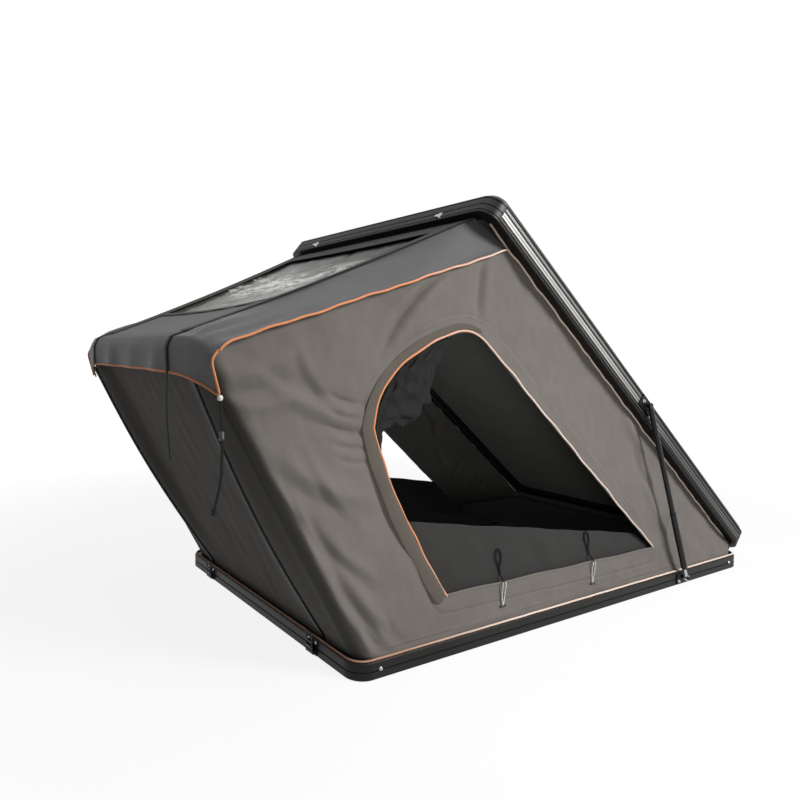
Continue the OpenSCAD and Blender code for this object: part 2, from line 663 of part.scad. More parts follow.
// Front wall: rises from the rim behind the rod sockets, leans out to the fly and turns back at
// its sides along the front edges of the side walls, with shallow upright folds between
front_x = -half_l + canvas_in + 11;
front_flat = half_w - corner_r + 26;
front_top = [fly_x + 34, fly_front_z - valance_d + 18];
front_t = [0, 0.012, 0.2, 0.4, 0.6, 0.8, 1];
front_n = 20;
function hem_drop(y) = corner_drop * pow(abs(y) / half_w, 6);
function hem_back(y) = corner_back * pow(abs(y) / half_w, 6);
function front_z(y, t) = mix(canvas_z, front_top.y - hem_drop(y) * 0.6, t);
function front_lean(t) = mix(front_x, front_top.x, max(0, (t - front_t[1]) / (1 - front_t[1])));
function side_front(z) = z < tip.y
    ? mix(wall_front_x, tip.x, (z - canvas_z) / (tip.y - canvas_z))
    : mix(tip.x, fly_corner.x, (z - tip.y) / (fly_corner.y - tip.y));
function front_edge(side) = [for (t = front_t) let (z = front_z(half_w, t), x = side_front(z))
    [x + 2 * part_gap, side * (lean([x, z]) - cloth_t - 2 * part_gap), z]];
front_rows = concat([front_edge(-1)],
    [for (i = [0:front_n]) let (y = mix(-front_flat, front_flat, i / front_n)) [for (t = front_t)
        [front_lean(t) + fold_d * 0.8 * edge_fade(t) * sin(y * 0.9 + 40 * t), y, front_z(y, t)]]],
    [front_edge(1)]);
module front_wall() { color(canvas * 0.7) sheet(front_rows, [cloth_t, 0, 0]); }

// Awning rods stand in cups on the rim and bow out under the fly
socket_d = awning_rod_d + 4;
socket_x = -half_l + piping_in + piping_d / 2 + part_gap + socket_d / 2;
rod_spread = 84;
rod_top = [fly_x + 12, rod_foot_y + rod_spread, fly_front_z - valance_d - 20];
socket_floor = 2;
module rod_sockets() {
    color(casting) for (sy = [-1, 1]) translate([socket_x, sy * rod_foot_y, base_h]) difference() {
        cylinder(d = socket_d, h = rim_gap - 2 * part_gap);
        translate([0, 0, socket_floor]) cylinder(d = awning_rod_d + 2 * part_gap, h = rim_gap);
    }
}
rod_foot = [socket_x, rod_foot_y, base_h + socket_floor + part_gap];
rod_bend = [socket_x, rod_foot_y, lid_z + 6];
rod_route = concat([rod_foot], [for (k = [0:13]) let (t = k / 13)
    mix(rod_bend, rod_top, t) + [-rod_bow * edge_fade(t), 0, 0]]);
module awning_rods() {
    color(strut_black) both_sides() tube(rod_route, [for (p = rod_route) awning_rod_d / 2], 8);
}

// Fly: the top is held between two straps, falls to the side piping, and ends in a front valance
fly_lid = flat(lid_open([-half_l + 0.7 * lid_rim_w, 0, lid_z - part_gap]));
side_lid = flat(lid_open([lid_seam_front, 0, lid_seam_z - 6]));
side_out = 6;
cloth_back = [0.7, 0, -0.7] * cloth_t;
fly_t = [0, 0.08, 0.2, 0.35, 0.5, 0.65, 0.8, 0.92, 0.975, 1];
sag = 16;
skirt_bulge = 10;
strap_sag = 10;
roll_out = 16;
function strap_at(t) = [mix(fly_lid.x, fly_x, t), mix(strap_lid_y, strap_front_y, t),
    mix(fly_lid.y, fly_front_z, t) - strap_sag * edge_fade(t)];
function side_at(t) = [mix(side_lid.x, fly_corner.x, t), mix(lid_piping_y + side_out, half_w - 6, t),
    mix(side_lid.y, fly_corner.y, t)];
function top_at(s, t) = let (p = strap_at(t)) [p.x, s * p.y, p.z - sag * (1 - s * s) * edge_fade(t)];
function skirt_at(s, t, side) = let (q = mix(side_at(t), strap_at(t), s))
    [q.x, side * q.y, q.z + skirt_bulge * edge_fade(s) * t];
function fly_row(t) = concat(
    [for (k = [0:3]) skirt_at(k / 4, t, -1)],
    [for (s = [-1, -0.9, -0.5, 0, 0.5, 0.9, 1]) top_at(s, t)],
    [for (k = [3:-1:0]) skirt_at(k / 4, t, 1)]);
// The valance turns down at the front edge
valance_wave = 5;
function valance_drop(p) = valance_d + hem_drop(p.y) + p.z - fly_front_z;
function valance_row(k) = [for (p = fly_row(1))
    [p.x - roll_out * sin(min(k, 0.4) * 225) + valance_wave * k * sin(p.y * 1.4) + k * hem_back(p.y), p.y,
     p.z - k * valance_drop(p)]];
fly_rows = concat([for (t = fly_t) fly_row(t)], [for (k = [0.25, 0.6, 1]) valance_row(k)]);
module fly() { color(fly_grey) sheet(fly_rows, cloth_back, hole = [1, 7, 5, 9]); }
film_t = 2;
film_back = [0.7, 0, -0.7] * film_t;
window_rows = [for (i = [1:7]) [for (j = [5:9]) fly_rows[i][j] + cloth_back + [0, 0, -part_gap]]];
module skylight() { color([0.8, 0.85, 0.9, 0.4]) sheet(window_rows, film_back); }

// Piping down the fly's sides and round its front corners
function fly_edge(k) = fly_rows[k][0] + [0, -piping_d / 2 - part_gap, 0];
module fly_piping() {
    color(orange) both_sides() {
        route = [for (k = [0:len(fly_rows) - 1]) fly_edge(k)];
        tube(route, [for (p = route) piping_d / 2], 6);
    }
}

// Straps over the fly, along one of its columns, with a loose tail below the valance
strap_lift = strap_t / 2 + 3 * part_gap;
function strap_line(column, tail) = let (hem = fly_rows[len(fly_rows) - 1][column]) concat(
    [mix(fly_rows[0][column], fly_rows[1][column], 0.04)],
    [for (k = [1:len(fly_rows) - 1]) fly_rows[k][column]], [hem + [-1, 0, -tail * 0.5], hem + [3, 0, -tail]]);
module strap(column, tail) {
    line = strap_line(column, tail);
    n = len(line);
    rows = [for (k = [0:n - 1]) let (
        d = line[min(k + 1, n - 1)] - line[max(k - 1, 0)],
        up = [d.z, 0, -d.x] / norm([d.z, d.x]),
        p = line[k] + up * strap_lift)
        [for (c = [[-1, -1], [1, -1], [1, 1], [-1, 1]])
            p + [0, c.x * strap_w / 2, 0] + up * c.y * strap_t / 2]];
    skin = [for (k = [0:n - 2], a = [0:3]) let (a2 = (a + 1) % 4)
        each [[k * 4 + a, k * 4 + 4 + a2, k * 4 + 4 + a], [k * 4 + a, k * 4 + a2, k * 4 + 4 + a2]]];
    caps = [[0, 2, 1], [0, 3, 2], [n * 4 - 4, n * 4 - 3, n * 4 - 2], [n * 4 - 4, n * 4 - 2, n * 4 - 1]];
    color(strut_black) polyhedron(points = [for (r = rows) each r], faces = concat(skin, caps));
}
right_column = 4;
left_column = 10;
module fly_strap_right() { strap(right_column, tail_l); }
module fly_strap_left() { strap(left_column, tail_l * 0.2); }

// Loose cord and pale toggle at the right-hand corner of the fly
toggle_d = 16;
toggle_at = fly_edge(len(fly_rows) - 1) - [0, 0, toggle_d / 2 + part_gap];
module tip_toggle() { color([0.85, 0.84, 0.8]) translate(toggle_at) sphere(d = toggle_d); }
cord_d = 6;
cord_route = [for (p = [[0, 0, 0], [1, 0, -14], [2, 0, -30], [3, 1, -46], [4, 1, -62], [5, 2, -78],
    [6, 2, -96], [6, 2, -114], [6, 2, -132], [5, 1, -150], [4, 1, -168], [3, 0, -186], [0, -1, -203],
    [-4, -3, -220], [-9, -4, -237], [-14, -5, -254], [-19, -6, -271], [-24, -7, -288]])
    toggle_at + p + [0, 0, -toggle_d / 2 - part_gap]];
module tip_cord() { color(strut_black) tube(cord_route, [for (p = cord_route) cord_d / 2], 8); }

// Mattress: crowned, with sides drawn in between its corners
mattress_in = base_rim_w + 15;
mattress_z = ledge_z + floor_t + part_gap;
mattress_nx = 12;
mattress_ny = 8;
function mattress_edge(s) = 1 - 0.012 * (1 - s * s);
function mattress_point(i, j, top) = let (sx = 2 * i / mattress_nx - 1, sy = 2 * j / mattress_ny - 1,
        crown = (1 - pow(abs(sx), 8)) * (1 - pow(abs(sy), 8)))
    [sx * (half_l - mattress_in) * mattress_edge(sy), sy * (half_w - mattress_in) * mattress_edge(sx),
     mattress_z + (top ? mattress_t - mattress_crown * (1 - crown) : 0)];
module mattress() {
    rows = [for (i = [0:mattress_nx]) [for (j = [0:mattress_ny]) mattress_point(i, j, true)]];
    base = [for (i = [0:mattress_nx]) [for (j = [0:mattress_ny]) mattress_point(i, j, false)]];
    color("gray") block(rows, base);
}
// A closed block between two grids of points
module block(upper, lower) {
    n = len(upper);
    m = len(upper[0]);
    count = n * m;
    function id(i, j) = i * m + j;
    function quad(a, b, c, d) = [[a, b, c], [a, c, d]];
    faces = concat(
        [for (i = [0:n - 2], j = [0:m - 2]) each concat(
            quad(id(i, j), id(i, j + 1), id(i + 1, j + 1), id(i + 1, j)),
            quad(count + id(i, j), count + id(i + 1, j), count + id(i + 1, j + 1), count + id(i, j + 1)))],
        [for (i = [0:n - 2]) each concat(
            quad(id(i, 0), id(i + 1, 0), count + id(i + 1, 0), count + id(i, 0)),
            quad(id(i + 1, m - 1), id(i, m - 1), count + id(i, m - 1), count + id(i + 1, m - 1)))],
        [for (j = [0:m - 2]) each concat(
            quad(id(0, j + 1), id(0, j), count + id(0, j), count + id(0, j + 1)),
            quad(id(n - 1, j), id(n - 1, j + 1), count + id(n - 1, j + 1), count + id(n - 1, j)))]);
    polyhedron(points = concat([for (r = upper) each r], [for (r = lower) each r]), faces = faces);
}

// Door flap: from inside the sill it drops to the bed and lies there in soft folds
flap_y = lean([door_mid.x, sill_z]) - cloth_t - 4;
bed_z = mattress_z + mattress_t + part_gap;
flap_reach = [[0, sill_z - 10], [14, sill_z + 4], [60, sill_z - 20], [110, bed_z + 12], [200, bed_z + 2],
    [330, bed_z], [470, bed_z]];
function flap_fold(x, k) = fold_d * edge_fade(k / 6) * (1 + sin(x * 1.3 + 50 * k));
module door_flap() {
    rows = [for (i = [0:20]) let (x = mix(door_front_x + 60, door_rear_x - 60, i / 20))
        [for (k = [0:6]) [x + k * 6 * sin(i * 40), -flap_y + flap_reach[k].x * (1 - 0.4 * pow(i / 20, 2)),
            flap_reach[k].y + flap_fold(x, k)]]];
    color(canvas * 0.8) sheet(rows, [0, 0.6, cloth_t]);
}
module door_flap_right() { door_flap(); }
module door_flap_left() { mirror([0, 1, 0]) door_flap(); }

// Insect mesh gathered in a loose roll inside the door's round front
mesh_n = 10;
mesh_in = 10;
mesh_first = 4;
mesh_radii = [for (k = [0:mesh_n]) 12 + 15 * edge_fade((k + 1) / (mesh_n + 2)) + 3 * sin(k * 110)];
mesh_path = [for (k = [0:mesh_n]) let (
        p = door_outline[mesh_first + k],
        q = p + (door_mid - p) / norm(door_mid - p) * mesh_in,
        deep = sqrt(pow(mesh_radii[k] + 3 * part_gap, 2) - pow(mesh_in - 3, 2)))
    [q.x, deep + cloth_t - lean(q), q.y]];
module door_mesh() { color([0.12, 0.12, 0.12]) tube(mesh_path, mesh_radii, 10); }
module door_mesh_right() { door_mesh(); }
module door_mesh_left() { mirror([0, 1, 0]) door_mesh(); }

// Door ties: a tab sewn under the sill with a toggle bar at its foot, and a cord loop that stands over the piping
tie_x = [-437, 36];
tie_drop = 20;
tie_out = 1.5;
tab = [12, 3, 64];
loop_r = 14;
loop_d = 3;
bar = [22, piping_d + loop_d * 1.5 + 3 * part_gap, 6];
module door_ties() {
    color(strut_black) both_sides() for (x = tie_x)
        translate([x, -lean([x, sill_z - tie_drop - tab.z]) - tie_out, sill_z - tie_drop]) {
            translate([-tab.x / 2, -tab.y, -tab.z]) cube(tab);
            translate([-bar.x / 2, -bar.y, -bar.z]) cube(bar);
            translate([-bar.x / 2, -tab.y - bar.z / 2, -tab.z]) cube([bar.x, tab.y + bar.z / 2, bar.z]);
            translate([0, loop_d - bar.y, loop_r - bar.z / 2]) rotate([90, 0, 0]) rotate_extrude()
                translate([loop_r, 0]) circle(d = loop_d, $fn = 16);
        }
}

base_rail_left();
base_rail_right();
base_rail_front();
base_rail_rear();
base_corners();
floor_panel();
mount_rail_left();
mount_rail_right();
base_seal();
base_piping();
mattress();
hinge_base_leaves();
hinge_pins();
strut_base_brackets();
latch_plates();
rod_sockets();
awning_rods();
wall_left();
wall_right();
front_wall();
door_piping_left();
door_piping_right();
door_flap_left();
door_flap_right();
door_mesh_left();
door_mesh_right();
door_ties();
lid_rail_left();
lid_rail_right();
lid_rail_front();
lid_rail_rear();
lid_corners();
lid_skin();
lid_liner();
lid_piping();
hinge_lid_leaves();
strut_lid_brackets();
latch_keepers();
fly();
fly_piping();
skylight();
fly_strap_left();
fly_strap_right();
tip_toggle();
tip_cord();
strut_rod_left();
strut_cover_left();
strut_barrel_left();
strut_rod_right();
strut_cover_right();
strut_barrel_right();
latch_lever_left();
latch_bail_left();
latch_lever_right();
latch_bail_right();
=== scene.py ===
"""Roof top tent: cloth, piping, hardware finishes and a plain studio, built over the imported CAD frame.

Run as a script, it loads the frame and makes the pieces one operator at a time.
"""

import math

import bmesh
import bpy
import numpy as np
from bpy.props import FloatProperty, FloatVectorProperty, IntProperty, PointerProperty
from mathutils import Matrix, Vector


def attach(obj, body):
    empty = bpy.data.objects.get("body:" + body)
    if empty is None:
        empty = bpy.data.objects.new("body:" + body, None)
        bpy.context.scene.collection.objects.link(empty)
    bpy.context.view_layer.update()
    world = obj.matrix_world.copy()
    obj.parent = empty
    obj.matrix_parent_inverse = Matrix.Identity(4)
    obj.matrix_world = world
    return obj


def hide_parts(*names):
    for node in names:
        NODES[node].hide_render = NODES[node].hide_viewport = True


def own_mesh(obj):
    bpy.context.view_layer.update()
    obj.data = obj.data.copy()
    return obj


bl_info = {
    "name": "Roof Top Tent",
    "version": (1, 0, 0),
    "blender": (4, 5, 0),
    "location": "View3D > Sidebar > Tent",
    "description": "Dresses a hard-shell roof top tent with canvas, fly, piping and hardware finishes",
    "category": "Object",
}

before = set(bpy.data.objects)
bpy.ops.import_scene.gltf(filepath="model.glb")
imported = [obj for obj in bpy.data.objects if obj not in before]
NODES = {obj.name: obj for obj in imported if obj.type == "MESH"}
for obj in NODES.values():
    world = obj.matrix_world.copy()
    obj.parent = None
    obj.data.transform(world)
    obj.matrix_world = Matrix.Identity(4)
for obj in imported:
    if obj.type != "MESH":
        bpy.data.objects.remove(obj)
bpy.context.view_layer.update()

# Lid hinge and opening angle, as the frame stands at rest
HINGE_X, HINGE_Z = 1.061, 0.058
OPEN = math.radians(40.3)

# Side wall outline in X and Z: rear of the rim, front foot, fly tip, fly corner, lid front, lid rear
WALL = [(0.978, 0.0545), (-1.021, 0.0545), (-1.458, 0.862), (-1.488, 0.984), (-0.4125, 1.3106),
        (1.0175, 0.0996)]
FRONT_FOOT, TIP = WALL[1], WALL[2]
# Door: a point near its middle in X and Z, its sill's height at the rear, and the steps along the sill
DOOR_MID = (-0.315, 0.539)
SILL = 0.172
SILL_STEPS = 40
# The door's round front in X and Z: its bulge and its top, and the points that pull its edge outwards
DOOR_BULGE, DOOR_TOP = (-0.97, 0.744), (-0.64, 1.026)
DOOR_PULL, DOOR_SHOULDER = (-0.904, 0.5152), (-0.95, 0.946)
# Radius of the wall's turn round its front corner
WRAP = 0.05
# Sideways from the door's edge: the seam of its band and the middle of its rain gutter
SEAM_OUT = 0.05
GUTTER_OUT = 0.03
# Square to the wall's front edge: the way back from it, and the stretch over which the canvas colour darkens
# as painted shade round the front corner
FRONT_PAINTED_SHADE = ((0.8796, 0, 0.476), -0.868, -0.84)

# Half widths: the wall's foot, how far it leans in towards the lid, and the front wall between its corners
WALL_HALF, WALL_LEAN, FRONT_HALF = 0.634, 0.0258, 0.586
WALL_FOOT_Z = 0.0545
# The front wall up its middle: X at the rim, the share of its height before it leans, its lean and its wave
FRONT_X, FRONT_UPRIGHT, FRONT_LEAN, FRONT_WAVE = -1.023, 0.012, -0.453, 0.0072
# The base's rim: middle of its corner arcs, their radius and the height of the welt on them
RIM_CORNER, RIM_R, WELT_Z = (0.988, 0.588), 0.054, 0.0575
# A wave texture repeats after this many units at a scale of one
WAVE_REPEAT = 0.31416
SIDES = ((-1, "right"), (1, "left"))

# Where a folded piece gathers when the lid shuts
FOOT_X, FOOT_Z = -1.03, 0.06
RIM_Z = 0.0555


def linear(code):
    """An sRGB hex colour as linear red, green and blue."""
    parts = [int(code[k:k + 2], 16) / 255 for k in (1, 3, 5)]
    return tuple(p / 12.92 if p <= 0.04045 else ((p + 0.055) / 1.055) ** 2.4 for p in parts)


# Bands of the rails by height over their rim: top edge, colour, metallic share, roughness
INK = linear("#131312")
BASE_BANDS = [(0.024, linear("#151515"), 0.0, 0.45), (0.030, linear("#0B0B0B"), 0.0, 0.5),
              (0.046, linear("#1B1B1A"), 0.1, 0.4), (0.058, linear("#1B1511"), 0.0, 0.45)]
LID_BANDS = [(0.013, linear("#1C1916"), 0.0, 0.5), (0.017, linear("#5E5C59"), 0.3, 0.45),
             (0.025, INK, 0.0, 0.5), (0.043, linear("#C6C6C3"), 1.0, 0.3), (0.051, INK, 0.0, 0.5),
             (0.060, linear("#858582"), 0.8, 0.36), (0.068, INK, 0.0, 0.5),
             (0.072, linear("#333331"), 0.3, 0.4), (0.092, linear("#121212"), 0.0, 0.5)]
LID_DARK = [(band[0], linear("#2A2A29" if k in (1, 5) else "#111111"), 0.0, 0.5)
            for k, band in enumerate(LID_BANDS)]
# Along the lid from its hinge: a painted fall-off of reflection darkens the bright faces near the hinge, full
# towards the front
LID_REFLECTION_FALLOFF = ((-math.cos(OPEN), 0, math.sin(OPEN)), 0.0, 0.55)
LID_RIM_Z = 0.062
LID_START = LID_RIM_Z - HINGE_Z + HINGE_X * math.sin(OPEN) + HINGE_Z * math.cos(OPEN)


class TentSizes(bpy.types.PropertyGroup):
    """Sizes of the cloth, trim and small hardware."""

    cloth: FloatProperty(name="Cloth", description="Thickness of the wall canvas", default=0.0016,
                         unit="LENGTH")
    piping: FloatProperty(name="Piping", description="Diameter of the sewn piping", default=0.007,
                          unit="LENGTH")
    strap: FloatProperty(name="Strap", description="Width of the fly straps", default=0.020, unit="LENGTH")
    strap_thick: FloatProperty(name="Strap thickness", description="Thickness of the webbing", default=0.002,
                               unit="LENGTH")
    rod: FloatProperty(name="Awning rod", description="Diameter of the sprung awning rods", default=0.009,
                       unit="LENGTH")
    cord: FloatProperty(name="Corner cord", description="Diameter of the loose corner cord", default=0.008,
                        unit="LENGTH")
    stitch: FloatProperty(name="Stitch", description="Length of one stitch", default=0.005, unit="LENGTH")
    stitch_step: FloatProperty(name="Stitch step", description="Distance from one stitch to the next",
                               default=0.008, unit="LENGTH")
    screw: FloatProperty(name="Screw head", description="Width of a screw head", default=0.010, unit="LENGTH")
    crease: FloatProperty(name="Crease", description="Depth of the wall's folds, as a share", default=1.9,
                          min=0, max=3, subtype="FACTOR")
    seed: IntProperty(name="Seed", description="Seed of the small ripples", default=7)


class TentColours(bpy.types.PropertyGroup):
    """Colours of the tent's cloth and trim."""

    canvas: FloatVectorProperty(name="Canvas", description="Side walls", subtype="COLOR",
                                default=linear("#6B6661"))
    # The front wall's colour: the canvas darkened as painted shade
    shade: FloatVectorProperty(name="Front canvas", description="Front wall", subtype="COLOR",
                               default=linear("#3E3B37"))
    lining: FloatVectorProperty(name="Lining", description="Inside of the walls", subtype="COLOR",
                                default=linear("#605E5B"))
    fly: FloatVectorProperty(name="Fly", description="Rain fly", subtype="COLOR", default=linear("#575658"))
    piping: FloatVectorProperty(name="Piping", description="Sewn welts", subtype="COLOR",
                                default=linear("#DA8B5A"))
    # The door panels' colour: the canvas darkened as painted shade inside the doorway
    flap: FloatVectorProperty(name="Door flap", description="Door panels, let down inside the doors",
                              subtype="COLOR", default=linear("#282726"))


class TentStage(bpy.types.PropertyGroup):
    """Light and floor of the studio."""

    floor: FloatVectorProperty(name="Floor", description="Colour of the floor", subtype="COLOR",
                               default=linear("#BDBDBB"))
    key: FloatProperty(name="Key", description="Power of the main soft box", default=315.0, unit="POWER")
    top: FloatProperty(name="Top", description="Power of the soft box overhead", default=60.0, unit="POWER")
    fill: FloatProperty(name="Fill", description="Power of the spot that reaches in at the door",
                        default=80.0, unit="POWER")
    air: FloatProperty(name="Surround", description="Strength of the even light around", default=0.10, min=0)
    lens: FloatProperty(name="Lens", description="Camera lens", default=30.76, subtype="DISTANCE_CAMERA")


def sizes():
    """The sizes that the panel shows."""
    return bpy.context.scene.tent_sizes


def colours():
    """The colours that the panel shows."""
    return bpy.context.scene.tent_colours


def add(tree, kind, settings=None, values=None, links=None):
    """Adds one node with its settings, constant inputs and links."""
    made = tree.nodes.new(kind)
    for key, value in (settings or {}).items():
        setattr(made, key, value)
    for key, value in (values or {}).items():
        made.inputs[key].default_value = value
    for key, source in (links or {}).items():
        tree.links.new(source, made.inputs[key])
    return made


def seen_directly(tree):
    """One for rays from the camera, glossy rays and rays through the film, and nothing for the rest."""
    path = add(tree, "ShaderNodeLightPath")
    seen = add(tree, "ShaderNodeMath", {"operation": "MAXIMUM"},
               links={0: path.outputs["Is Camera Ray"], 1: path.outputs["Is Glossy Ray"]})
    return add(tree, "ShaderNodeMath", {"operation": "MAXIMUM"},
               links={0: seen.outputs[0], 1: path.outputs["Is Transmission Ray"]}).outputs[0]


def begin(name, values):
    """A material with one principled shader, ready for its patterns."""
    made = bpy.data.materials.new(name)
    made.use_nodes = True
    tree = made.node_tree
    tree.nodes.clear()
    shader = add(tree, "ShaderNodeBsdfPrincipled", values=values)
    add(tree, "ShaderNodeOutputMaterial", links={"Surface": shader.outputs[0]})
    return made, tree, shader


def tone(colour, share):
    """A lighter or darker version of a colour, as four numbers."""
    return (*[min(1.0, c * share) for c in colour[:3]], 1.0)


def woven(name, colour, thread, rough, crumple=0.05, lift=0.0016, spread=0.1, sheen=0.08, weave=0.35,
          edge=None):
    """Woven cloth: threads of the given pitch, cloudy dye and the small crumples that packing leaves.

    edge gives a direction, the stretch along it over which the colour darkens into painted shade, and the
    colour of that shade.
    """
    made, tree, shader = begin(name, {"Roughness": rough, "Sheen Weight": sheen, "Sheen Roughness": 0.5,
                                      "Specular IOR Level": 0.3})
    uv = add(tree, "ShaderNodeUVMap", {"uv_map": "UVMap"}).outputs["UV"]
    # One thread per wave
    pitch = WAVE_REPEAT / thread
    warp = add(tree, "ShaderNodeTexWave", {"bands_direction": "X"}, {"Scale": pitch, "Distortion": 0.4},
               {"Vector": uv})
    weft = add(tree, "ShaderNodeTexWave", {"bands_direction": "Y"}, {"Scale": pitch, "Distortion": 0.4},
               {"Vector": uv})
    cross = add(tree, "ShaderNodeMath", {"operation": "MULTIPLY"},
                links={0: warp.outputs["Fac"], 1: weft.outputs["Fac"]})
    cloud = add(tree, "ShaderNodeTexNoise", None, {"Scale": 1 / 0.22, "Detail": 5.0, "Roughness": 0.62},
                {"Vector": uv})
    slub = add(tree, "ShaderNodeTexNoise", None, {"Scale": 1 / 0.012, "Detail": 3.0, "Roughness": 0.7},
               {"Vector": uv})
    blend = add(tree, "ShaderNodeMath", {"operation": "MULTIPLY_ADD"}, {1: 0.45},
                {0: slub.outputs["Fac"], 2: cloud.outputs["Fac"]})
    spot = add(tree, "ShaderNodeMapRange", None, {"From Min": 0.45, "From Max": 1.0},
               {"Value": blend.outputs[0]})
    dye = add(tree, "ShaderNodeMix", {"data_type": "RGBA"},
              {6: tone(colour, 1 - spread), 7: tone(colour, 1 + spread)}, {0: spot.outputs[0]})
    out = dye.outputs[2]
    # Painted shade: along the given direction the colour darkens into the shade colour
    if edge is not None:
        way, start, end, deep = edge
        place = add(tree, "ShaderNodeTexCoord").outputs["Object"]
        away = add(tree, "ShaderNodeVectorMath", {"operation": "DOT_PRODUCT"}, {1: way}, {0: place})
        share = add(tree, "ShaderNodeMapRange", {"interpolation_type": "SMOOTHSTEP"},
                    {"From Min": start, "From Max": end}, {"Value": away.outputs["Value"]})
        out = add(tree, "ShaderNodeMix", {"data_type": "RGBA"}, {6: (*deep, 1)},
                  {0: share.outputs[0], 7: out}).outputs[2]
    tree.links.new(out, shader.inputs["Base Color"])
    folds = add(tree, "ShaderNodeTexNoise", None, {"Scale": 1 / crumple, "Detail": 4.0, "Roughness": 0.55,
                                                   "Distortion": 0.8}, {"Vector": uv})
    soft = add(tree, "ShaderNodeBump", None, {"Strength": 0.6, "Distance": lift},
               {"Height": folds.outputs["Fac"]})
    fine = add(tree, "ShaderNodeBump", None, {"Strength": weave, "Distance": thread * 0.25},
               {"Height": cross.outputs[0], "Normal": soft.outputs[0]})
    tree.links.new(fine.outputs[0], shader.inputs["Normal"])
    return made


def hard(name, colour, rough, metallic=0.0, grain=0.0008, depth=0.0002, spread=0.12, streak=(1, 1, 1),
         gloss=0.5):
    """A hard finish on Object coordinates: fine grain, uneven roughness and faint colour change."""
    made, tree, shader = begin(name, {"Metallic": metallic, "Specular IOR Level": gloss})
    place = add(tree, "ShaderNodeTexCoord").outputs["Object"]
    along = add(tree, "ShaderNodeMapping", None, {"Scale": streak}, {"Vector": place})
    dust = add(tree, "ShaderNodeTexNoise", None, {"Scale": 1 / 0.09, "Detail": 6.0, "Roughness": 0.65},
               {"Vector": along.outputs[0]})
    grit = add(tree, "ShaderNodeTexNoise", None, {"Scale": 1 / grain, "Detail": 2.0},
               {"Vector": along.outputs[0]})
    dye = add(tree, "ShaderNodeMix", {"data_type": "RGBA"},
              {6: tone(colour, 1 - spread), 7: tone(colour, 1 + spread)}, {0: dust.outputs["Fac"]})
    worn = add(tree, "ShaderNodeMapRange", None,
               {"From Min": 0.3, "From Max": 0.7, "To Min": max(0.04, rough - 0.08), "To Max": rough + 0.1},
               {"Value": dust.outputs["Fac"]})
    skin = add(tree, "ShaderNodeBump", None, {"Strength": 0.5, "Distance": depth},
               {"Height": grit.outputs["Fac"]})
    tree.links.new(dye.outputs[2], shader.inputs["Base Color"])
    tree.links.new(worn.outputs[0], shader.inputs["Roughness"])
    tree.links.new(skin.outputs[0], shader.inputs["Normal"])
    return made


def welt(name, colour, pale, rough=0.62):
    """Woven welt over a cord: slanting ribs 3 mm apart, orange in front and paling towards the rear as
    painted highlight.
    """
    made, tree, shader = begin(name, {"Roughness": rough, "Sheen Weight": 0.15, "Specular IOR Level": 0.35})
    uv = add(tree, "ShaderNodeUVMap", {"uv_map": "UVMap"}).outputs["UV"]
    slant = add(tree, "ShaderNodeMapping", None, {"Rotation": (0, 0, math.radians(35))}, {"Vector": uv})
    ribs = add(tree, "ShaderNodeTexWave", None, {"Scale": WAVE_REPEAT / 0.003, "Distortion": 0.5},
               {"Vector": slant.outputs[0]})
    rub = add(tree, "ShaderNodeTexNoise", None, {"Scale": 1 / 0.05, "Detail": 4.0}, {"Vector": uv})
    dye = add(tree, "ShaderNodeMix", {"data_type": "RGBA"}, {6: tone(colour, 0.85), 7: tone(colour, 1.2)},
              {0: rub.outputs["Fac"]})
    # Painted highlight: towards the rear the colour pales to the given pale colour
    place = add(tree, "ShaderNodeTexCoord").outputs["Object"]
    along = add(tree, "ShaderNodeSeparateXYZ", None, None, {0: place}).outputs["X"]
    share = add(tree, "ShaderNodeMapRange", None, {"From Min": -0.85, "From Max": -0.35}, {"Value": along})
    dye = add(tree, "ShaderNodeMix", {"data_type": "RGBA"}, {7: (*pale, 1)},
              {0: share.outputs[0], 6: dye.outputs[2]})
    rise = add(tree, "ShaderNodeBump", None, {"Strength": 0.5, "Distance": 0.0006},
               {"Height": ribs.outputs["Fac"]})
    tree.links.new(dye.outputs[2], shader.inputs["Base Color"])
    tree.links.new(rise.outputs[0], shader.inputs["Normal"])
    return made


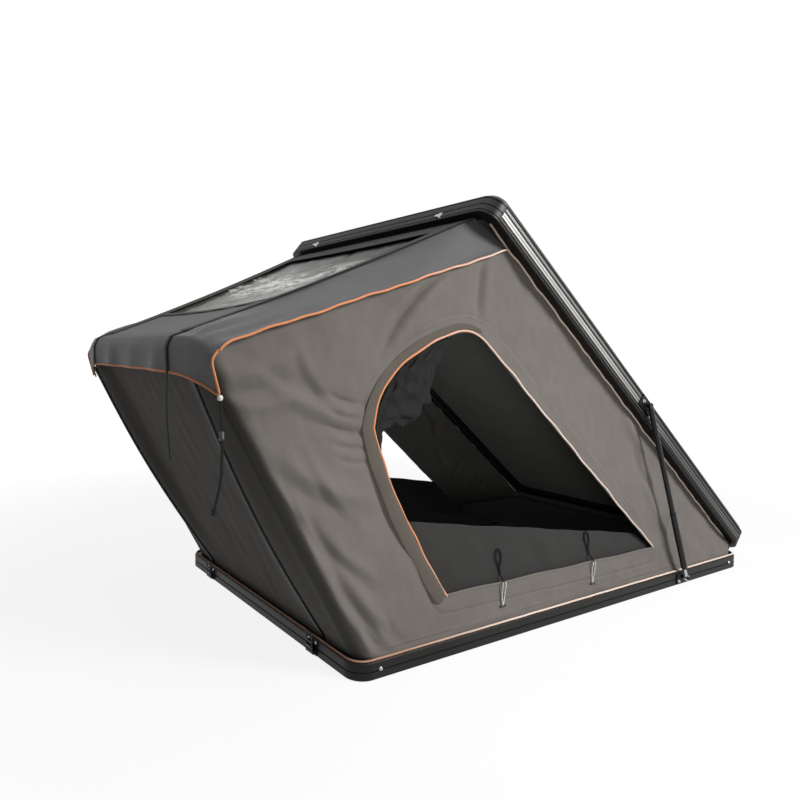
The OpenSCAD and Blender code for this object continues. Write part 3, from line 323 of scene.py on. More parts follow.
def clear_film(name):
    """Clear PVC film over the dark inside: olive grey, paler towards the front as painted reflection, with
    broken white glints painted where it was crushed.
    """
    made, tree, shader = begin(name, {"Roughness": 0.24, "IOR": 1.2, "Specular IOR Level": 0.25})
    uv = add(tree, "ShaderNodeUVMap", {"uv_map": "UVMap"}).outputs["UV"]
    crush = add(tree, "ShaderNodeTexNoise", None, {"Scale": 1 / 0.07, "Detail": 5.0, "Roughness": 0.6,
                                                   "Distortion": 1.4}, {"Vector": uv})
    drawn = add(tree, "ShaderNodeMapping", None, {"Scale": (0.5, 1.2, 1)}, {"Vector": uv})
    spark = add(tree, "ShaderNodeTexNoise", None, {"Scale": 1 / 0.085, "Detail": 4.0, "Roughness": 0.6,
                                                   "Distortion": 1.6}, {"Vector": drawn.outputs[0]})
    sharp = add(tree, "ShaderNodeMapRange", None, {"From Min": 0.48, "From Max": 0.53},
                {"Value": spark.outputs["Fac"]})
    # The painted glints lie across the film's middle: front and rear limits in metres along the tent
    place = add(tree, "ShaderNodeTexCoord").outputs["Object"]
    along = add(tree, "ShaderNodeSeparateXYZ", None, None, {0: place}).outputs["X"]
    ahead = add(tree, "ShaderNodeMapRange", None, {"From Min": -1.07, "From Max": -0.97}, {"Value": along})
    behind = add(tree, "ShaderNodeMapRange", None, {"From Min": -0.74, "From Max": -0.86}, {"Value": along})
    middle = add(tree, "ShaderNodeMath", {"operation": "MULTIPLY"}, None,
                 {0: ahead.outputs[0], 1: behind.outputs[0]})
    painted_glint = add(tree, "ShaderNodeMath", {"operation": "MULTIPLY"}, None,
                {0: sharp.outputs[0], 1: middle.outputs[0]})
    # Painted reflection: the film's olive-grey colour is paler towards the front and darker to the rear
    tint_and_painted_reflection = add(tree, "ShaderNodeMix", {"data_type": "RGBA"},
               {6: (*linear("#4A4A44"), 1), 7: (*linear("#8B8A7E"), 1)}, {0: behind.outputs[0]})
    base = add(tree, "ShaderNodeMix", {"data_type": "RGBA"}, {7: (*linear("#F0F0EC"), 1)},
               {0: painted_glint.outputs[0], 6: tint_and_painted_reflection.outputs[2]})
    clear = add(tree, "ShaderNodeMapRange", None, {"To Min": 0.6, "To Max": 0.0}, {"Value": painted_glint.outputs[0]})
    rise = add(tree, "ShaderNodeBump", None, {"Strength": 0.7, "Distance": 0.004},
               {"Height": crush.outputs["Fac"]})
    tree.links.new(base.outputs[2], shader.inputs["Base Color"])
    tree.links.new(clear.outputs[0], shader.inputs["Transmission Weight"])
    tree.links.new(rise.outputs[0], shader.inputs["Normal"])
    return made


def banded(name, bands, across, start, streak, turn=0.0, gloss=0.35, fade=None):
    """Extruded rail whose finish changes with height: bands of (top edge, colour, metallic share, roughness).

    fade gives a direction and the stretch along it over which a painted fall-off of reflection brightens the
    rail from a quarter of its colour to all of it.
    """
    made, tree, shader = begin(name, {"Specular IOR Level": gloss})
    place = add(tree, "ShaderNodeTexCoord").outputs["Object"]
    high = add(tree, "ShaderNodeVectorMath", {"operation": "DOT_PRODUCT"}, {1: across}, {0: place})
    along = add(tree, "ShaderNodeMapping", None, {"Rotation": (0, turn, 0), "Scale": streak},
                {"Vector": place})
    lines = add(tree, "ShaderNodeTexNoise", None, {"Scale": 1 / 0.004, "Detail": 3.0},
                {"Vector": along.outputs[0]})
    cloud = add(tree, "ShaderNodeTexNoise", None, {"Scale": 1 / 0.16, "Detail": 4.0}, {"Vector": place})
    fac = add(tree, "ShaderNodeMapRange", None, {"From Min": start, "From Max": start + bands[-1][0]},
              {"Value": high.outputs["Value"]})
    for socket, pick in (("Base Color", 1), ("Metallic", 2), ("Roughness", 3)):
        ramp = add(tree, "ShaderNodeValToRGB", links={"Fac": fac.outputs[0]})
        ramp.color_ramp.interpolation = "CONSTANT"
        stops = ramp.color_ramp.elements
        below = 0.0
        for k, band in enumerate(bands):
            stop = stops[0] if k == 0 else stops.new(below / bands[-1][0])
            stop.color = (*band[1], 1) if pick == 1 else (band[pick],) * 3 + (1,)
            below = band[0]
        while len(stops) > len(bands):
            stops.remove(stops[-1])
        out = ramp.outputs["Color"]
        if pick == 1:
            share = add(tree, "ShaderNodeMapRange", None, {"To Min": 0.72, "To Max": 1.15},
                        {"Value": cloud.outputs["Fac"]})
            out = add(tree, "ShaderNodeMix", {"data_type": "RGBA", "blend_type": "MULTIPLY"}, {0: 1.0},
                      {6: out, 7: share.outputs[0]}).outputs[2]
        if pick == 1 and fade is not None:
            far = add(tree, "ShaderNodeVectorMath", {"operation": "DOT_PRODUCT"}, {1: fade[0]}, {0: place})
            painted_falloff = add(tree, "ShaderNodeMapRange", None,
                       {"From Min": fade[1], "From Max": fade[2], "To Min": 0.25},
                       {"Value": far.outputs["Value"]})
            out = add(tree, "ShaderNodeMix", {"data_type": "RGBA", "blend_type": "MULTIPLY"}, {0: 1.0},
                      {6: out, 7: painted_falloff.outputs[0]}).outputs[2]
        tree.links.new(out, shader.inputs[socket])
    skin = add(tree, "ShaderNodeBump", None, {"Strength": 0.4, "Distance": 0.0003},
               {"Height": lines.outputs["Fac"]})
    tree.links.new(skin.outputs[0], shader.inputs["Normal"])
    return made


FINISH = {}


def finishes():
    """Every finish of the tent, made once."""
    if FINISH:
        return FINISH
    c = colours()
    FINISH.update({
        # Coated poly-cotton canvas: matt, warm grey, slightly cloudy. Its half-millimetre weave is drawn
        # at 1.6 mm to show
        # Towards its front edge its colour darkens to near black: painted shade round the front corner
        "canvas": woven("coated poly-cotton canvas", tuple(c.canvas), 0.0016, 0.82,
                        edge=FRONT_PAINTED_SHADE + (linear("#242321"),)),
        # The folded gutter strips: the same canvas, doubled, browner and darker
        "gutter": woven("doubled poly-cotton canvas", linear("#58524A"), 0.0016, 0.85),
        # The same canvas, darkened as painted shade, for the front wall and the strip across the hinge
        "shade": woven("poly-cotton canvas, painted shade", tuple(c.shade), 0.0016, 0.85),
        # Backed inner face of the canvas: dull mid grey, dark only because little light gets in
        "lining": woven("backed canvas, inner face", tuple(c.lining), 0.0016, 0.9, sheen=0.02),
        # Coated polyester fly: smoother than canvas, with a low sheen; weave drawn at 1.2 mm to show
        "fly": woven("coated polyester fly", tuple(c.fly), 0.0012, 0.62, crumple=0.07, lift=0.0022,
                     sheen=0.12),
        # The fly's top: the same cloth, a little rougher, its colour halved as painted shade
        "fly_top": woven("polyester fly, painted shade", tone(tuple(c.fly), 0.5)[:3], 0.0012, 0.7, lift=0.002),
        # Inner door panels: the same canvas, darkened to nearly black as painted shade inside the doorway,
        # with deeper crumples
        "flap": woven("door panel canvas, painted shade", tuple(c.flap), 0.0016, 0.85, lift=0.0024),
        # Fine black mesh gathered in a roll: matt with a loose open weave, holes drawn at 3 mm to show
        "mesh": woven("polyester insect mesh", linear("#0C0C0B"), 0.003, 0.8, crumple=0.018, lift=0.006,
                      spread=0.9, sheen=0.01, weave=0.9),
        # Knitted mattress cover: soft dark grey with 4 mm ribs
        "knit": woven("knitted mattress cover", linear("#343433"), 0.004, 0.9, sheen=0.25, weave=0.6),
        # Polypropylene webbing: black, with 2 mm ribs across the strap
        "webbing": woven("polypropylene webbing", linear("#070707"), 0.002, 0.8, lift=0.0004, sheen=0.0,
                         weave=0.8),
        # Grosgrain tape bound over the window's edge: near black with fine cross ribs
        "tape": woven("grosgrain binding tape", linear("#1B1B1B"), 0.0014, 0.75, lift=0.0008, sheen=0.03,
                      weave=0.6),
        # Braided elastic: pale grey, ribbed along its length
        "elastic": woven("braided elastic", linear("#C9C7C2"), 0.0015, 0.7, lift=0.0003, weave=0.8),
        # Woven welt over a cord core: orange, ribbed, paling to cream towards the rear as painted highlight
        "piping": welt("orange woven welt", tuple(c.piping), linear("#EDD8C9")),
        # The welts round the base and the lid: the same, paler, a dusty peach paling to cream towards the
        # rear as painted highlight
        "pale_welt": welt("pale woven welt, painted highlight", linear("#B48A73"), linear("#EBD6C8")),
        # Bonded sewing thread: dull grey, a little lighter than the canvas is in shade
        "thread": hard("polyester thread", linear("#57534E"), 0.7, grain=0.001, depth=0.0001),
        # Extruded aluminium, black anodised: satin, with faint die lines along its length
        "rail_x": banded("black anodised base rail, along", BASE_BANDS, (0, 0, 1), 0.0, (0.03, 1, 1), 0.0,
                         0.22),
        "rail_y": banded("black anodised base rail, across", BASE_BANDS, (0, 0, 1), 0.0, (1, 0.03, 1), 0.0,
                         0.22),
        # The lid's rails: black edges with two bright drawn faces between the grooves; the faces darken
        # towards the hinge as a painted fall-off of reflection
        "rail_lid": banded("bright-faced lid rail, along", LID_BANDS, (math.sin(OPEN), 0, math.cos(OPEN)),
                           LID_START, (0.03, 1, 1), -OPEN, 0.2, LID_REFLECTION_FALLOFF),
        "rail_lid_y": banded("black lid rail, across", LID_DARK, (math.sin(OPEN), 0, math.cos(OPEN)),
                             LID_START, (1, 0.03, 1), -OPEN, 0.2),
        # Cast aluminium with a black powder coat: half gloss with a fine orange peel
        "casting": hard("black powder-coated casting", linear("#111111"), 0.42, 0.0, 0.0025, 0.0002, 0.15,
                        gloss=0.2),
        # Roof sheet with a textured powder coat: matt and pebbled at 1.5 mm
        "roof": hard("textured powder-coated sheet", linear("#181818"), 0.6, 0.0, 0.0015, 0.0006, 0.15,
                     gloss=0.2),
        # Mill-finish sandwich board: dull grey metal with rolling lines
        "board": hard("mill-finish aluminium board", linear("#8E9092"), 0.5, 0.8, 0.002, 0.00015, 0.15,
                      (0.05, 1, 1)),
        # Anodised extrusion of the mounting rails: satin mid grey with die lines
        "mount": hard("grey anodised aluminium", linear("#6E7072"), 0.4, 0.7, 0.0012, 0.0001, 0.15,
                      (0.03, 1, 1)),
        # Moulded seal: matt, near black
        "rubber": hard("moulded seal rubber", linear("#191919"), 0.75, 0.0, 0.002, 0.0003),
        # Zinc-plated steel: pale bright metal with a soft blue-grey cast
        "steel": hard("zinc-plated steel", linear("#B9BBBE"), 0.3, 1.0, 0.001, 0.0001, 0.1),
        # Black zinc on the latches: dark satin metal
        "plated": hard("black zinc-plated steel", linear("#2B2B2B"), 0.35, 0.6, 0.001, 0.0001, 0.15),
        # Gas strut paint: deep gloss black
        "strut": hard("gloss black enamel", linear("#101010"), 0.3, 0.0, 0.003, 0.0001, 0.1, gloss=0.3),
        # Pultruded fibreglass rod: smooth satin black
        "rod": hard("pultruded fibreglass rod", linear("#141414"), 0.42, 0.0, 0.002, 0.0001, 0.1,
                    (1, 1, 0.05)),
        # Needle-felt liner: soft mid grey
        "felt": hard("needle-felt liner", linear("#8E8E8B"), 0.95, 0.0, 0.0012, 0.0008, 0.2),
        # Moulded nylon, pale: the toggle ball
        "nylon": hard("moulded nylon", linear("#E2DFD6"), 0.4, 0.0, 0.003, 0.0001, 0.05),
        # Moulded acetal of the cord lock and the tie bars: smooth satin black
        "plastic": hard("moulded acetal, black", linear("#181818"), 0.42, 0.0, 0.002, 0.0002, 0.1),
        # Clear film: olive grey with painted reflection towards the front and painted white glints
        "film": clear_film("clear PVC film"),
    })
    return FINISH


def link(obj):
    """Puts an object in the scene."""
    bpy.context.scene.collection.objects.link(obj)
    return obj


def shape(name, points, faces, finish, uvs=None, part=None):
    """A mesh object from points and faces, smooth, with one finish and a metric UV map."""
    mesh = bpy.data.meshes.new(name)
    mesh.from_pydata(np.asarray(points, float).tolist(), [], faces)
    layer = mesh.uv_layers.new(name="UVMap")
    if uvs is not None:
        layer.data.foreach_set("uv", np.asarray(uvs, np.float32).ravel())
    mesh.polygons.foreach_set("use_smooth", [True] * len(mesh.polygons))
    mesh.materials.append(finish)
    if part is not None:
        mark = mesh.attributes.new("part", "INT", "FACE")
        mark.data.foreach_set("value", np.asarray(part, np.int32).ravel())
    mesh.update()
    return link(bpy.data.objects.new(name, mesh))


def grid(name, rows, finish, around=False, caps=False, part=None, keep=None, flat=None):
    """A surface through rows of points. around closes rows, caps closes the ends, flat gives UVs by point."""
    rows = np.asarray(rows, float)
    n, m = rows.shape[:2]
    cols = m if around else m - 1
    i, j = (a.ravel() for a in np.meshgrid(np.arange(n - 1), np.arange(cols), indexing="ij"))
    k = (j + 1) % m
    quads = np.stack([i * m + j, i * m + k, (i + 1) * m + k, (i + 1) * m + j], 1)
    wrapped = np.concatenate([rows, rows[:, :1]], 1) if around else rows
    v = np.concatenate([[0], np.cumsum(np.linalg.norm(np.diff(rows, axis=0), axis=2).mean(1))])
    u = np.concatenate([[0], np.cumsum(np.linalg.norm(np.diff(wrapped, axis=1), axis=2).mean(0))])
    uvs = np.stack([np.stack([u[j], v[i]], 1), np.stack([u[j + 1], v[i]], 1),
                    np.stack([u[j + 1], v[i + 1]], 1), np.stack([u[j], v[i + 1]], 1)], 1)
    if flat is not None:
        uvs = np.asarray(flat, float).reshape(-1, 2)[quads]
    if keep is not None:
        held = np.asarray(keep).ravel()
        quads, uvs = quads[held], uvs[held]
        part = None if part is None else np.asarray(part).ravel()[held]
    faces = quads.tolist()
    uvs = uvs.reshape(-1, 2)
    if caps:
        faces += [list(range(m))[::-1], list(range((n - 1) * m, n * m))]
        uvs = np.concatenate([uvs, np.zeros((2 * m, 2))])
    obj = shape(name, rows.reshape(-1, 3), faces, finish, uvs, part)
    if keep is not None:
        clean(obj)
    return obj


def reworked(obj, work):
    """Runs one edit on the object's mesh."""
    bm = bmesh.new()
    bm.from_mesh(obj.data)
    work(bm)
    bm.to_mesh(obj.data)
    bm.free()
    return obj


def clean(obj):
    """Drops points that no face uses."""
    def drop(bm):
        bmesh.ops.delete(bm, geom=[v for v in bm.verts if not v.link_faces], context="VERTS")
    return reworked(obj, drop)


def outwards(obj):
    """Turns a closed shape's faces outwards."""
    return reworked(obj, lambda bm: bmesh.ops.recalc_face_normals(bm, faces=bm.faces))


def merged(obj, distance):
    """Joins points that lie together."""
    return reworked(obj, lambda bm: bmesh.ops.remove_doubles(bm, verts=bm.verts, dist=distance))


def facing(obj, direction):
    """Turns a sheet so that most of it faces the direction."""
    way = Vector(direction)
    if sum((p.normal.dot(way)) * p.area for p in obj.data.polygons) < 0:
        obj.data.flip_normals()
    return obj


def applied(obj):
    """Replaces the object's mesh by what its modifiers give, and takes the modifiers off."""
    deps = bpy.context.evaluated_depsgraph_get()
    mesh = bpy.data.meshes.new_from_object(obj.evaluated_get(deps))
    old = obj.data
    obj.modifiers.clear()
    obj.data = mesh
    mesh.name = obj.name
    bpy.data.meshes.remove(old)
    return obj


def thicken(obj, thickness, inner=None):
    """Gives a sheet its thickness, behind the face that shows, with the inner finish on its back."""
    if inner is not None:
        obj.data.materials.append(inner)
    wall = obj.modifiers.new("thickness", "SOLIDIFY")
    wall.thickness = thickness
    wall.offset = -1
    wall.use_even_offset = False
    wall.material_offset = 1 if inner is not None else 0
    return applied(obj)


def smooth_path(points, count):
    """Points on a smooth curve through the given points, evenly spaced."""
    p = np.asarray(points, float)
    p = np.concatenate([2 * p[:1] - p[1:2], p, 2 * p[-1:] - p[-2:-1]])
    out = []
    for k in range(1, len(p) - 2):
        for t in np.linspace(0, 1, 24, endpoint=False):
            a, b, c, d = p[k - 1], p[k], p[k + 1], p[k + 2]
            out.append(0.5 * (2 * b + (c - a) * t + (2 * a - 5 * b + 4 * c - d) * t * t
                              + (3 * b - a - 3 * c + d) * t ** 3))
    out.append(p[-2])
    return spaced(np.array(out), count)


def spaced(points, count, closed=False):
    """The same line with points at equal steps."""
    p = np.asarray(points, float)
    if closed:
        p = np.concatenate([p, p[:1]])
    s = np.concatenate([[0], np.cumsum(np.linalg.norm(np.diff(p, axis=0), axis=1))])
    at = np.linspace(0, s[-1], count, endpoint=not closed)
    return np.stack([np.interp(at, s, p[:, k]) for k in range(p.shape[1])], 1)


def swept(path, profile, closed=False, upright=None):
    """Rows of a profile carried along a path. The profile is (side, up) pairs, or one list for each point."""
    p = np.asarray(path, float)
    n = len(p)
    before = np.roll(p, 1, 0) if closed else np.concatenate([p[:1], p[:-1]])
    after = np.roll(p, -1, 0) if closed else np.concatenate([p[1:], p[-1:]])
    d = after - before
    d /= np.linalg.norm(d, axis=1)[:, None]
    if upright is None:
        up = np.zeros_like(p)
        u = np.cross(d[0], [0.31, 0.17, 0.93])
        u /= np.linalg.norm(u)
        for k in range(n):
            u = u - d[k] * (u @ d[k])
            u /= np.linalg.norm(u)
            up[k] = u
    else:
        up = np.broadcast_to(np.asarray(upright, float), p.shape).copy()
        up -= d * (up * d).sum(1)[:, None]
        up /= np.linalg.norm(up, axis=1)[:, None]
    side = np.cross(d, up)
    prof = np.asarray(profile, float)
    if prof.ndim == 2:
        prof = np.broadcast_to(prof, (n, *prof.shape))
    return p[:, None] + prof[:, :, :1] * side[:, None] + prof[:, :, 1:] * up[:, None]


def tube(name, path, radius, finish, sides=10, closed=False):
    """A round tube along a path, with one radius or one for each point."""
    r = np.broadcast_to(np.asarray(radius, float), (len(path),))
    a = np.linspace(0, 2 * np.pi, sides, endpoint=False)
    ring = np.stack([np.cos(a), np.sin(a)], 1)
    rows = swept(path, ring[None] * r[:, None, None], closed)
    if closed:
        rows = np.concatenate([rows, rows[:1]])
        return outwards(merged(grid(name, rows, finish, around=True), 1e-6))
    return outwards(grid(name, rows, finish, around=True, caps=True))


def ribbon(name, path, ups, width, thick, finish):
    """Flat webbing along a path, its edges a little rounded."""
    w, t = width / 2, thick / 2
    prof = [(-w, -t * 0.4), (-w + t, -t), (w - t, -t), (w, -t * 0.4), (w, t * 0.4), (w - t, t), (-w + t, t),
            (-w, t * 0.4)]
    return outwards(grid(name, swept(path, prof, upright=ups), finish, around=True, caps=True))


def joined(name, objs):
    """Several meshes as one object, with their finishes kept."""
    bm = bmesh.new()
    finishes_used = []
    mesh = bpy.data.meshes.new(name)
    for o in objs:
        start_face = len(bm.faces)
        bm.from_mesh(o.data)
        bm.faces.ensure_lookup_table()
        for f in bm.faces[start_face:]:
            m = o.data.materials[min(f.material_index, len(o.data.materials) - 1)]
            if m not in finishes_used:
                finishes_used.append(m)
            f.material_index = finishes_used.index(m)
    bm.to_mesh(mesh)
    bm.free()
    for m in finishes_used:
        mesh.materials.append(m)
    for o in objs:
        old = o.data
        bpy.data.objects.remove(o)
        if old.users == 0:
            bpy.data.meshes.remove(old)
    return link(bpy.data.objects.new(name, mesh))


def divided(obj, names, thickness, inner):
    """Cuts a sheet by its part marks into thick pieces that keep the whole sheet's shading."""
    mesh = obj.data
    count = len(mesh.polygons)
    marks = np.empty(count, np.int32)
    mesh.attributes["part"].data.foreach_get("value", marks)
    points, normals = np.empty(len(mesh.vertices) * 3), np.empty(len(mesh.vertices) * 3)
    mesh.vertices.foreach_get("co", points)
    mesh.vertices.foreach_get("normal", normals)
    points, normals = points.reshape(-1, 3), normals.reshape(-1, 3)
    corner = np.empty(len(mesh.loops), np.int32)
    mesh.loops.foreach_get("vertex_index", corner)
    uvs = np.empty(len(mesh.loops) * 2, np.float32)
    mesh.uv_layers["UVMap"].data.foreach_get("uv", uvs)
    quads, uvs = corner.reshape(count, 4), uvs.reshape(count, 4, 2)
    outer = mesh.materials[0]
    out = {}
    for mark, name in enumerate(names):
        ids, back = np.unique(quads[marks == mark], return_inverse=True)
        front = back.reshape(-1, 4)
        cut = uvs[marks == mark]
        n = len(ids)
        sides = np.concatenate([front[:, [k, (k + 1) % 4]] for k in range(4)])
        side_uv = np.concatenate([cut[:, [k, (k + 1) % 4]] for k in range(4)])
        _, where, uses = np.unique(np.sort(sides, 1), axis=0, return_inverse=True, return_counts=True)
        rim = uses[where.ravel()] == 1
        open_edge, open_uv = sides[rim], side_uv[rim]
        rims = np.stack([open_edge[:, 1], open_edge[:, 0], open_edge[:, 0] + n, open_edge[:, 1] + n], 1)
        faces = np.concatenate([front, front[:, ::-1] + n, rims])
        new = bpy.data.meshes.new(name)
        both = np.concatenate([points[ids], points[ids] - normals[ids] * thickness])
        new.from_pydata(both.tolist(), [], faces.tolist())
        laid = np.concatenate([cut, cut[:, ::-1], open_uv[:, [1, 0, 0, 1]]])
        new.uv_layers.new(name="UVMap").data.foreach_set("uv", laid.astype(np.float32).ravel())
        new.materials.append(outer)
        new.materials.append(inner)
        new.polygons.foreach_set("material_index", np.repeat([0, 1, 0], [len(front), len(front), len(rims)]))
        new.polygons.foreach_set("use_smooth", [True] * len(faces))
        new.normals_split_custom_set_from_vertices(np.concatenate([normals[ids], -normals[ids]]).tolist())
        new.update()
        out[name] = link(bpy.data.objects.new(name, new))
    bpy.data.objects.remove(obj)
    bpy.data.meshes.remove(mesh)
    return out


def settle(obj, body, nodes=(), fold=None):
    """Rides a piece on its body, hides the imported nodes it stands for, and gives it a mesh of its own where
    a fold is given.
    """
    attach(obj, body)
    if nodes:
        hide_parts(*nodes)
    if fold:
        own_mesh(obj)
    return obj


def declare_sheet(obj):
    """Reads the sheet's points and centres them on their mean; the result is not kept."""
    points = np.array([v.co for v in obj.data.vertices])
    points -= points.mean(0)


def lid_open(x, z):
    """A point of the shut lid, where it is with the lid raised."""
    dx, dz = x - HINGE_X, z - HINGE_Z
    return (HINGE_X + dx * math.cos(OPEN) + dz * math.sin(OPEN),
            HINGE_Z - dx * math.sin(OPEN) + dz * math.cos(OPEN))


def mirrored(points, side):
    """Points of the right-hand side, moved to the left-hand side where side is 1."""
    p = np.array(points, float)
    p[..., 1] *= -side
    return p


def ripple(u, v, seed, sizes_of, depth):
    """Small even ripples from a few crossing waves, the same on every run."""
    rng = np.random.default_rng(seed)
    out = np.zeros(np.broadcast(u, v).shape)
    for size in sizes_of:
        for _ in range(3):
            way, phase = rng.uniform(0, np.pi), rng.uniform(0, 2 * np.pi)
            out += np.sin((u * np.cos(way) + v * np.sin(way)) * 2 * np.pi / size + phase) * size
    return depth * out / (3 * sum(sizes_of))


def curve(a, b, c, n):
    """Points along a bend from a to c, pulled towards b, without the last one."""
    t = np.linspace(0, 1, n, endpoint=False)[:, None]
    a, b, c = (np.array(q, float) for q in (a, b, c))
    return (1 - t) ** 2 * a + 2 * t * (1 - t) * b + t * t * c


def sill(x):
    """Height of the door's sill, drawn up a little towards the front."""
    return SILL + 0.019 * (0.422 - x)


def door_outline():
    """The door's edge in X and Z, from the rear end of the sill, forwards and round."""
    return np.concatenate([
        curve((0.422, SILL), (-0.128, sill(-0.128)), (-0.684, sill(-0.684)), SILL_STEPS),
        curve((-0.684, sill(-0.684)), DOOR_PULL, DOOR_BULGE, 40),
        curve(DOOR_BULGE, DOOR_SHOULDER, DOOR_TOP, 36),
        curve(DOOR_TOP, (-0.55, 1.04), (-0.5, 0.986), 16),
        curve((-0.5, 0.986), (-0.039, 0.579), (0.422, SILL), 60)])


def front_way():
    """The front wall up its middle, heights and places in X: it leans out in a slow wave, to 0.1 mm."""
    up = np.array([0.2, 0.4, 0.6, 0.8])
    lean = FRONT_X + FRONT_LEAN * (up - FRONT_UPRIGHT) / (1 - FRONT_UPRIGHT)
    wave = FRONT_WAVE * np.sin(np.pi * up) * np.sin(np.radians(40 * up - 26.82))
    heights = np.round(0.0543 + 0.8807 * up, 4)
    places = np.round(lean + wave, 4)
    return [WALL_FOOT_Z, 0.066, *heights, 0.938], [FRONT_X, -1.0235, *places, -1.477]


def wall_out(x, z):
    """How far the wall's outer face stands from the middle: it leans in towards the lid."""
    h = np.clip((z - 0.0543) / (HINGE_Z + (HINGE_X - x) * math.sin(OPEN)), 0, 1)
    return WALL_HALF - WALL_LEAN * h


# Folds of the wall: start, end, half-width and height, outwards where positive
FOLDS = [
    ((-0.678, 1.235), (-0.950, 0.955), 0.011, -0.011), ((-0.652, 1.222), (-0.915, 0.945), 0.026, 0.008),
    ((-0.705, 1.245), (-0.975, 0.985), 0.030, 0.005), ((-0.766, 1.035), (-0.906, 0.939), 0.011, -0.005),
    ((-0.512, 1.289), (-0.537, 1.072), 0.012, -0.006), ((-0.485, 1.28), (-0.505, 1.08), 0.022, 0.004),
    ((-1.378, 0.955), (-1.02, 0.815), 0.030, -0.007), ((-1.36, 0.92), (-1.03, 0.775), 0.032, 0.006),
    ((-1.303, 0.70), (-1.00, 0.530), 0.034, 0.008), ((-1.32, 0.66), (-1.02, 0.49), 0.030, -0.006),
    ((-1.257, 0.815), (-1.022, 0.74), 0.026, -0.006), ((-1.39, 0.742), (-1.228, 0.509), 0.030, 0.011),
    ((-1.228, 0.509), (-1.005, 0.09), 0.028, 0.013), ((-1.325, 0.630), (-1.065, 0.14), 0.022, -0.011),
    ((-1.208, 0.523), (-1.005, 0.285), 0.022, -0.009), ((-1.18, 0.50), (-0.965, 0.30), 0.026, 0.006),
    ((-1.12, 0.36), (-0.95, 0.12), 0.018, -0.007), ((-1.09, 0.36), (-0.91, 0.13), 0.022, 0.006),
    ((-1.05, 0.20), (-0.975, 0.065), 0.011, 0.005), ((-1.02, 0.19), (-0.94, 0.065), 0.010, -0.005),
    ((-0.98, 0.18), (-0.90, 0.07), 0.011, 0.004), ((-0.93, 0.17), (-0.855, 0.07), 0.011, -0.003),
    ((0.24, 0.735), (0.36, 0.573), 0.024, 0.007), ((0.35, 0.573), (0.374, 0.458), 0.022, 0.006),
    ((0.374, 0.458), (0.47, 0.287), 0.022, 0.006), ((0.30, 0.60), (0.42, 0.40), 0.018, -0.005),
    ((0.12, 0.80), (0.05, 0.62), 0.018, -0.004), ((-0.10, 0.97), (-0.18, 0.83), 0.020, -0.004),
    ((-0.28, 1.10), (-0.38, 0.98), 0.022, 0.004), ((0.62, 0.37), (0.50, 0.20), 0.020, 0.005),
    ((0.70, 0.28), (0.60, 0.12), 0.018, -0.004), ((0.80, 0.22), (0.66, 0.08), 0.016, 0.004),
    ((-1.46, 0.90), (-1.22, 0.98), 0.024, 0.006), ((-1.45, 0.86), (-1.25, 0.90), 0.020, -0.006),
    ((-1.44, 0.83), (-1.16, 0.86), 0.022, 0.005),
    ((-1.12, 0.850), (-1.015, 0.818), 0.008, -0.004), ((-1.13, 0.806), (-1.015, 0.776), 0.009, -0.005),
    ((-1.13, 0.760), (-1.010, 0.733), 0.009, -0.005), ((-1.12, 0.711), (-0.995, 0.688), 0.008, -0.004),
    ((-1.10, 0.664), (-0.985, 0.645), 0.008, -0.003), ((-1.255, 0.985), (-1.108, 0.791), 0.016, -0.0025),
    ((-1.23, 0.995), (-1.085, 0.805), 0.018, 0.003), ((-1.225, 0.69), (-1.06, 0.47), 0.014, -0.0025),
    ((-1.20, 0.70), (-1.035, 0.48), 0.016, 0.003), ((-1.29, 0.65), (-1.12, 0.36), 0.012, -0.004),
]


def folded(x, z, seed):
    """Height of the wall's folds and ripples at points of the wall."""
    out = ripple(x, z, seed, (0.42, 0.23, 0.12), 0.0045) + ripple(x, z * 0.6, seed + 1, (0.07, 0.045), 0.0009)
    for (x0, z0), (x1, z1), width, high in FOLDS:
        dx, dz = x1 - x0, z1 - z0
        long = math.hypot(dx, dz)
        t = ((x - x0) * dx + (z - z0) * dz) / long ** 2
        bow = 0.06 * long * np.sin(np.pi * np.clip(t, 0, 1))
        off = ((x - x0) * dz - (z - z0) * dx) / long - bow
        past = np.maximum(np.maximum(-t, t - 1), 0) * long
        fade = np.clip(np.sin(np.pi * np.clip(t, 0.04, 0.96)), 0, 1) ** 0.6
        out = out + high * fade * np.exp(-np.abs(off / width) ** 1.6 - (past / (width * 2)) ** 2)
    return out


def inwards_hit(ways, outline):
    """Distance from the door's middle to the door's edge along each way."""
    a = outline
    b = np.roll(outline, -1, 0)
    e = b - a
    rel = a - np.array(DOOR_MID)
    den = ways[:, None, 0] * e[None, :, 1] - ways[:, None, 1] * e[None, :, 0]
    den = np.where(np.abs(den) < 1e-12, 1e-12, den)
    t = (rel[None, :, 0] * e[None, :, 1] - rel[None, :, 1] * e[None, :, 0]) / den
    s = (rel[None, :, 0] * ways[:, None, 1] - rel[None, :, 1] * ways[:, None, 0]) / den
    good = (t > 0) & (s >= -1e-9) & (s <= 1 + 1e-9)
    return np.where(good, t, np.inf).min(1)


def edge_distance(x, z, outline):
    """Distance from points to the door's edge."""
    a = outline
    e = np.roll(outline, -1, 0) - a
    best = np.full(x.shape, np.inf)
    for (ax, az), (ex, ez) in zip(a, e):
        t = np.clip(((x - ax) * ex + (z - az) * ez) / max(ex * ex + ez * ez, 1e-12), 0, 1)
        best = np.minimum(best, np.hypot(x - ax - t * ex, z - az - t * ez))
    return best


def front_setback(x, z):
    """How far a wall point is behind the wall's front edge."""
    fx, fz = TIP[0] - FRONT_FOOT[0], TIP[1] - FRONT_FOOT[1]
    long = math.hypot(fx, fz)
    return ((x - FRONT_FOOT[0]) * fz - (z - FRONT_FOOT[1]) * fx) / long


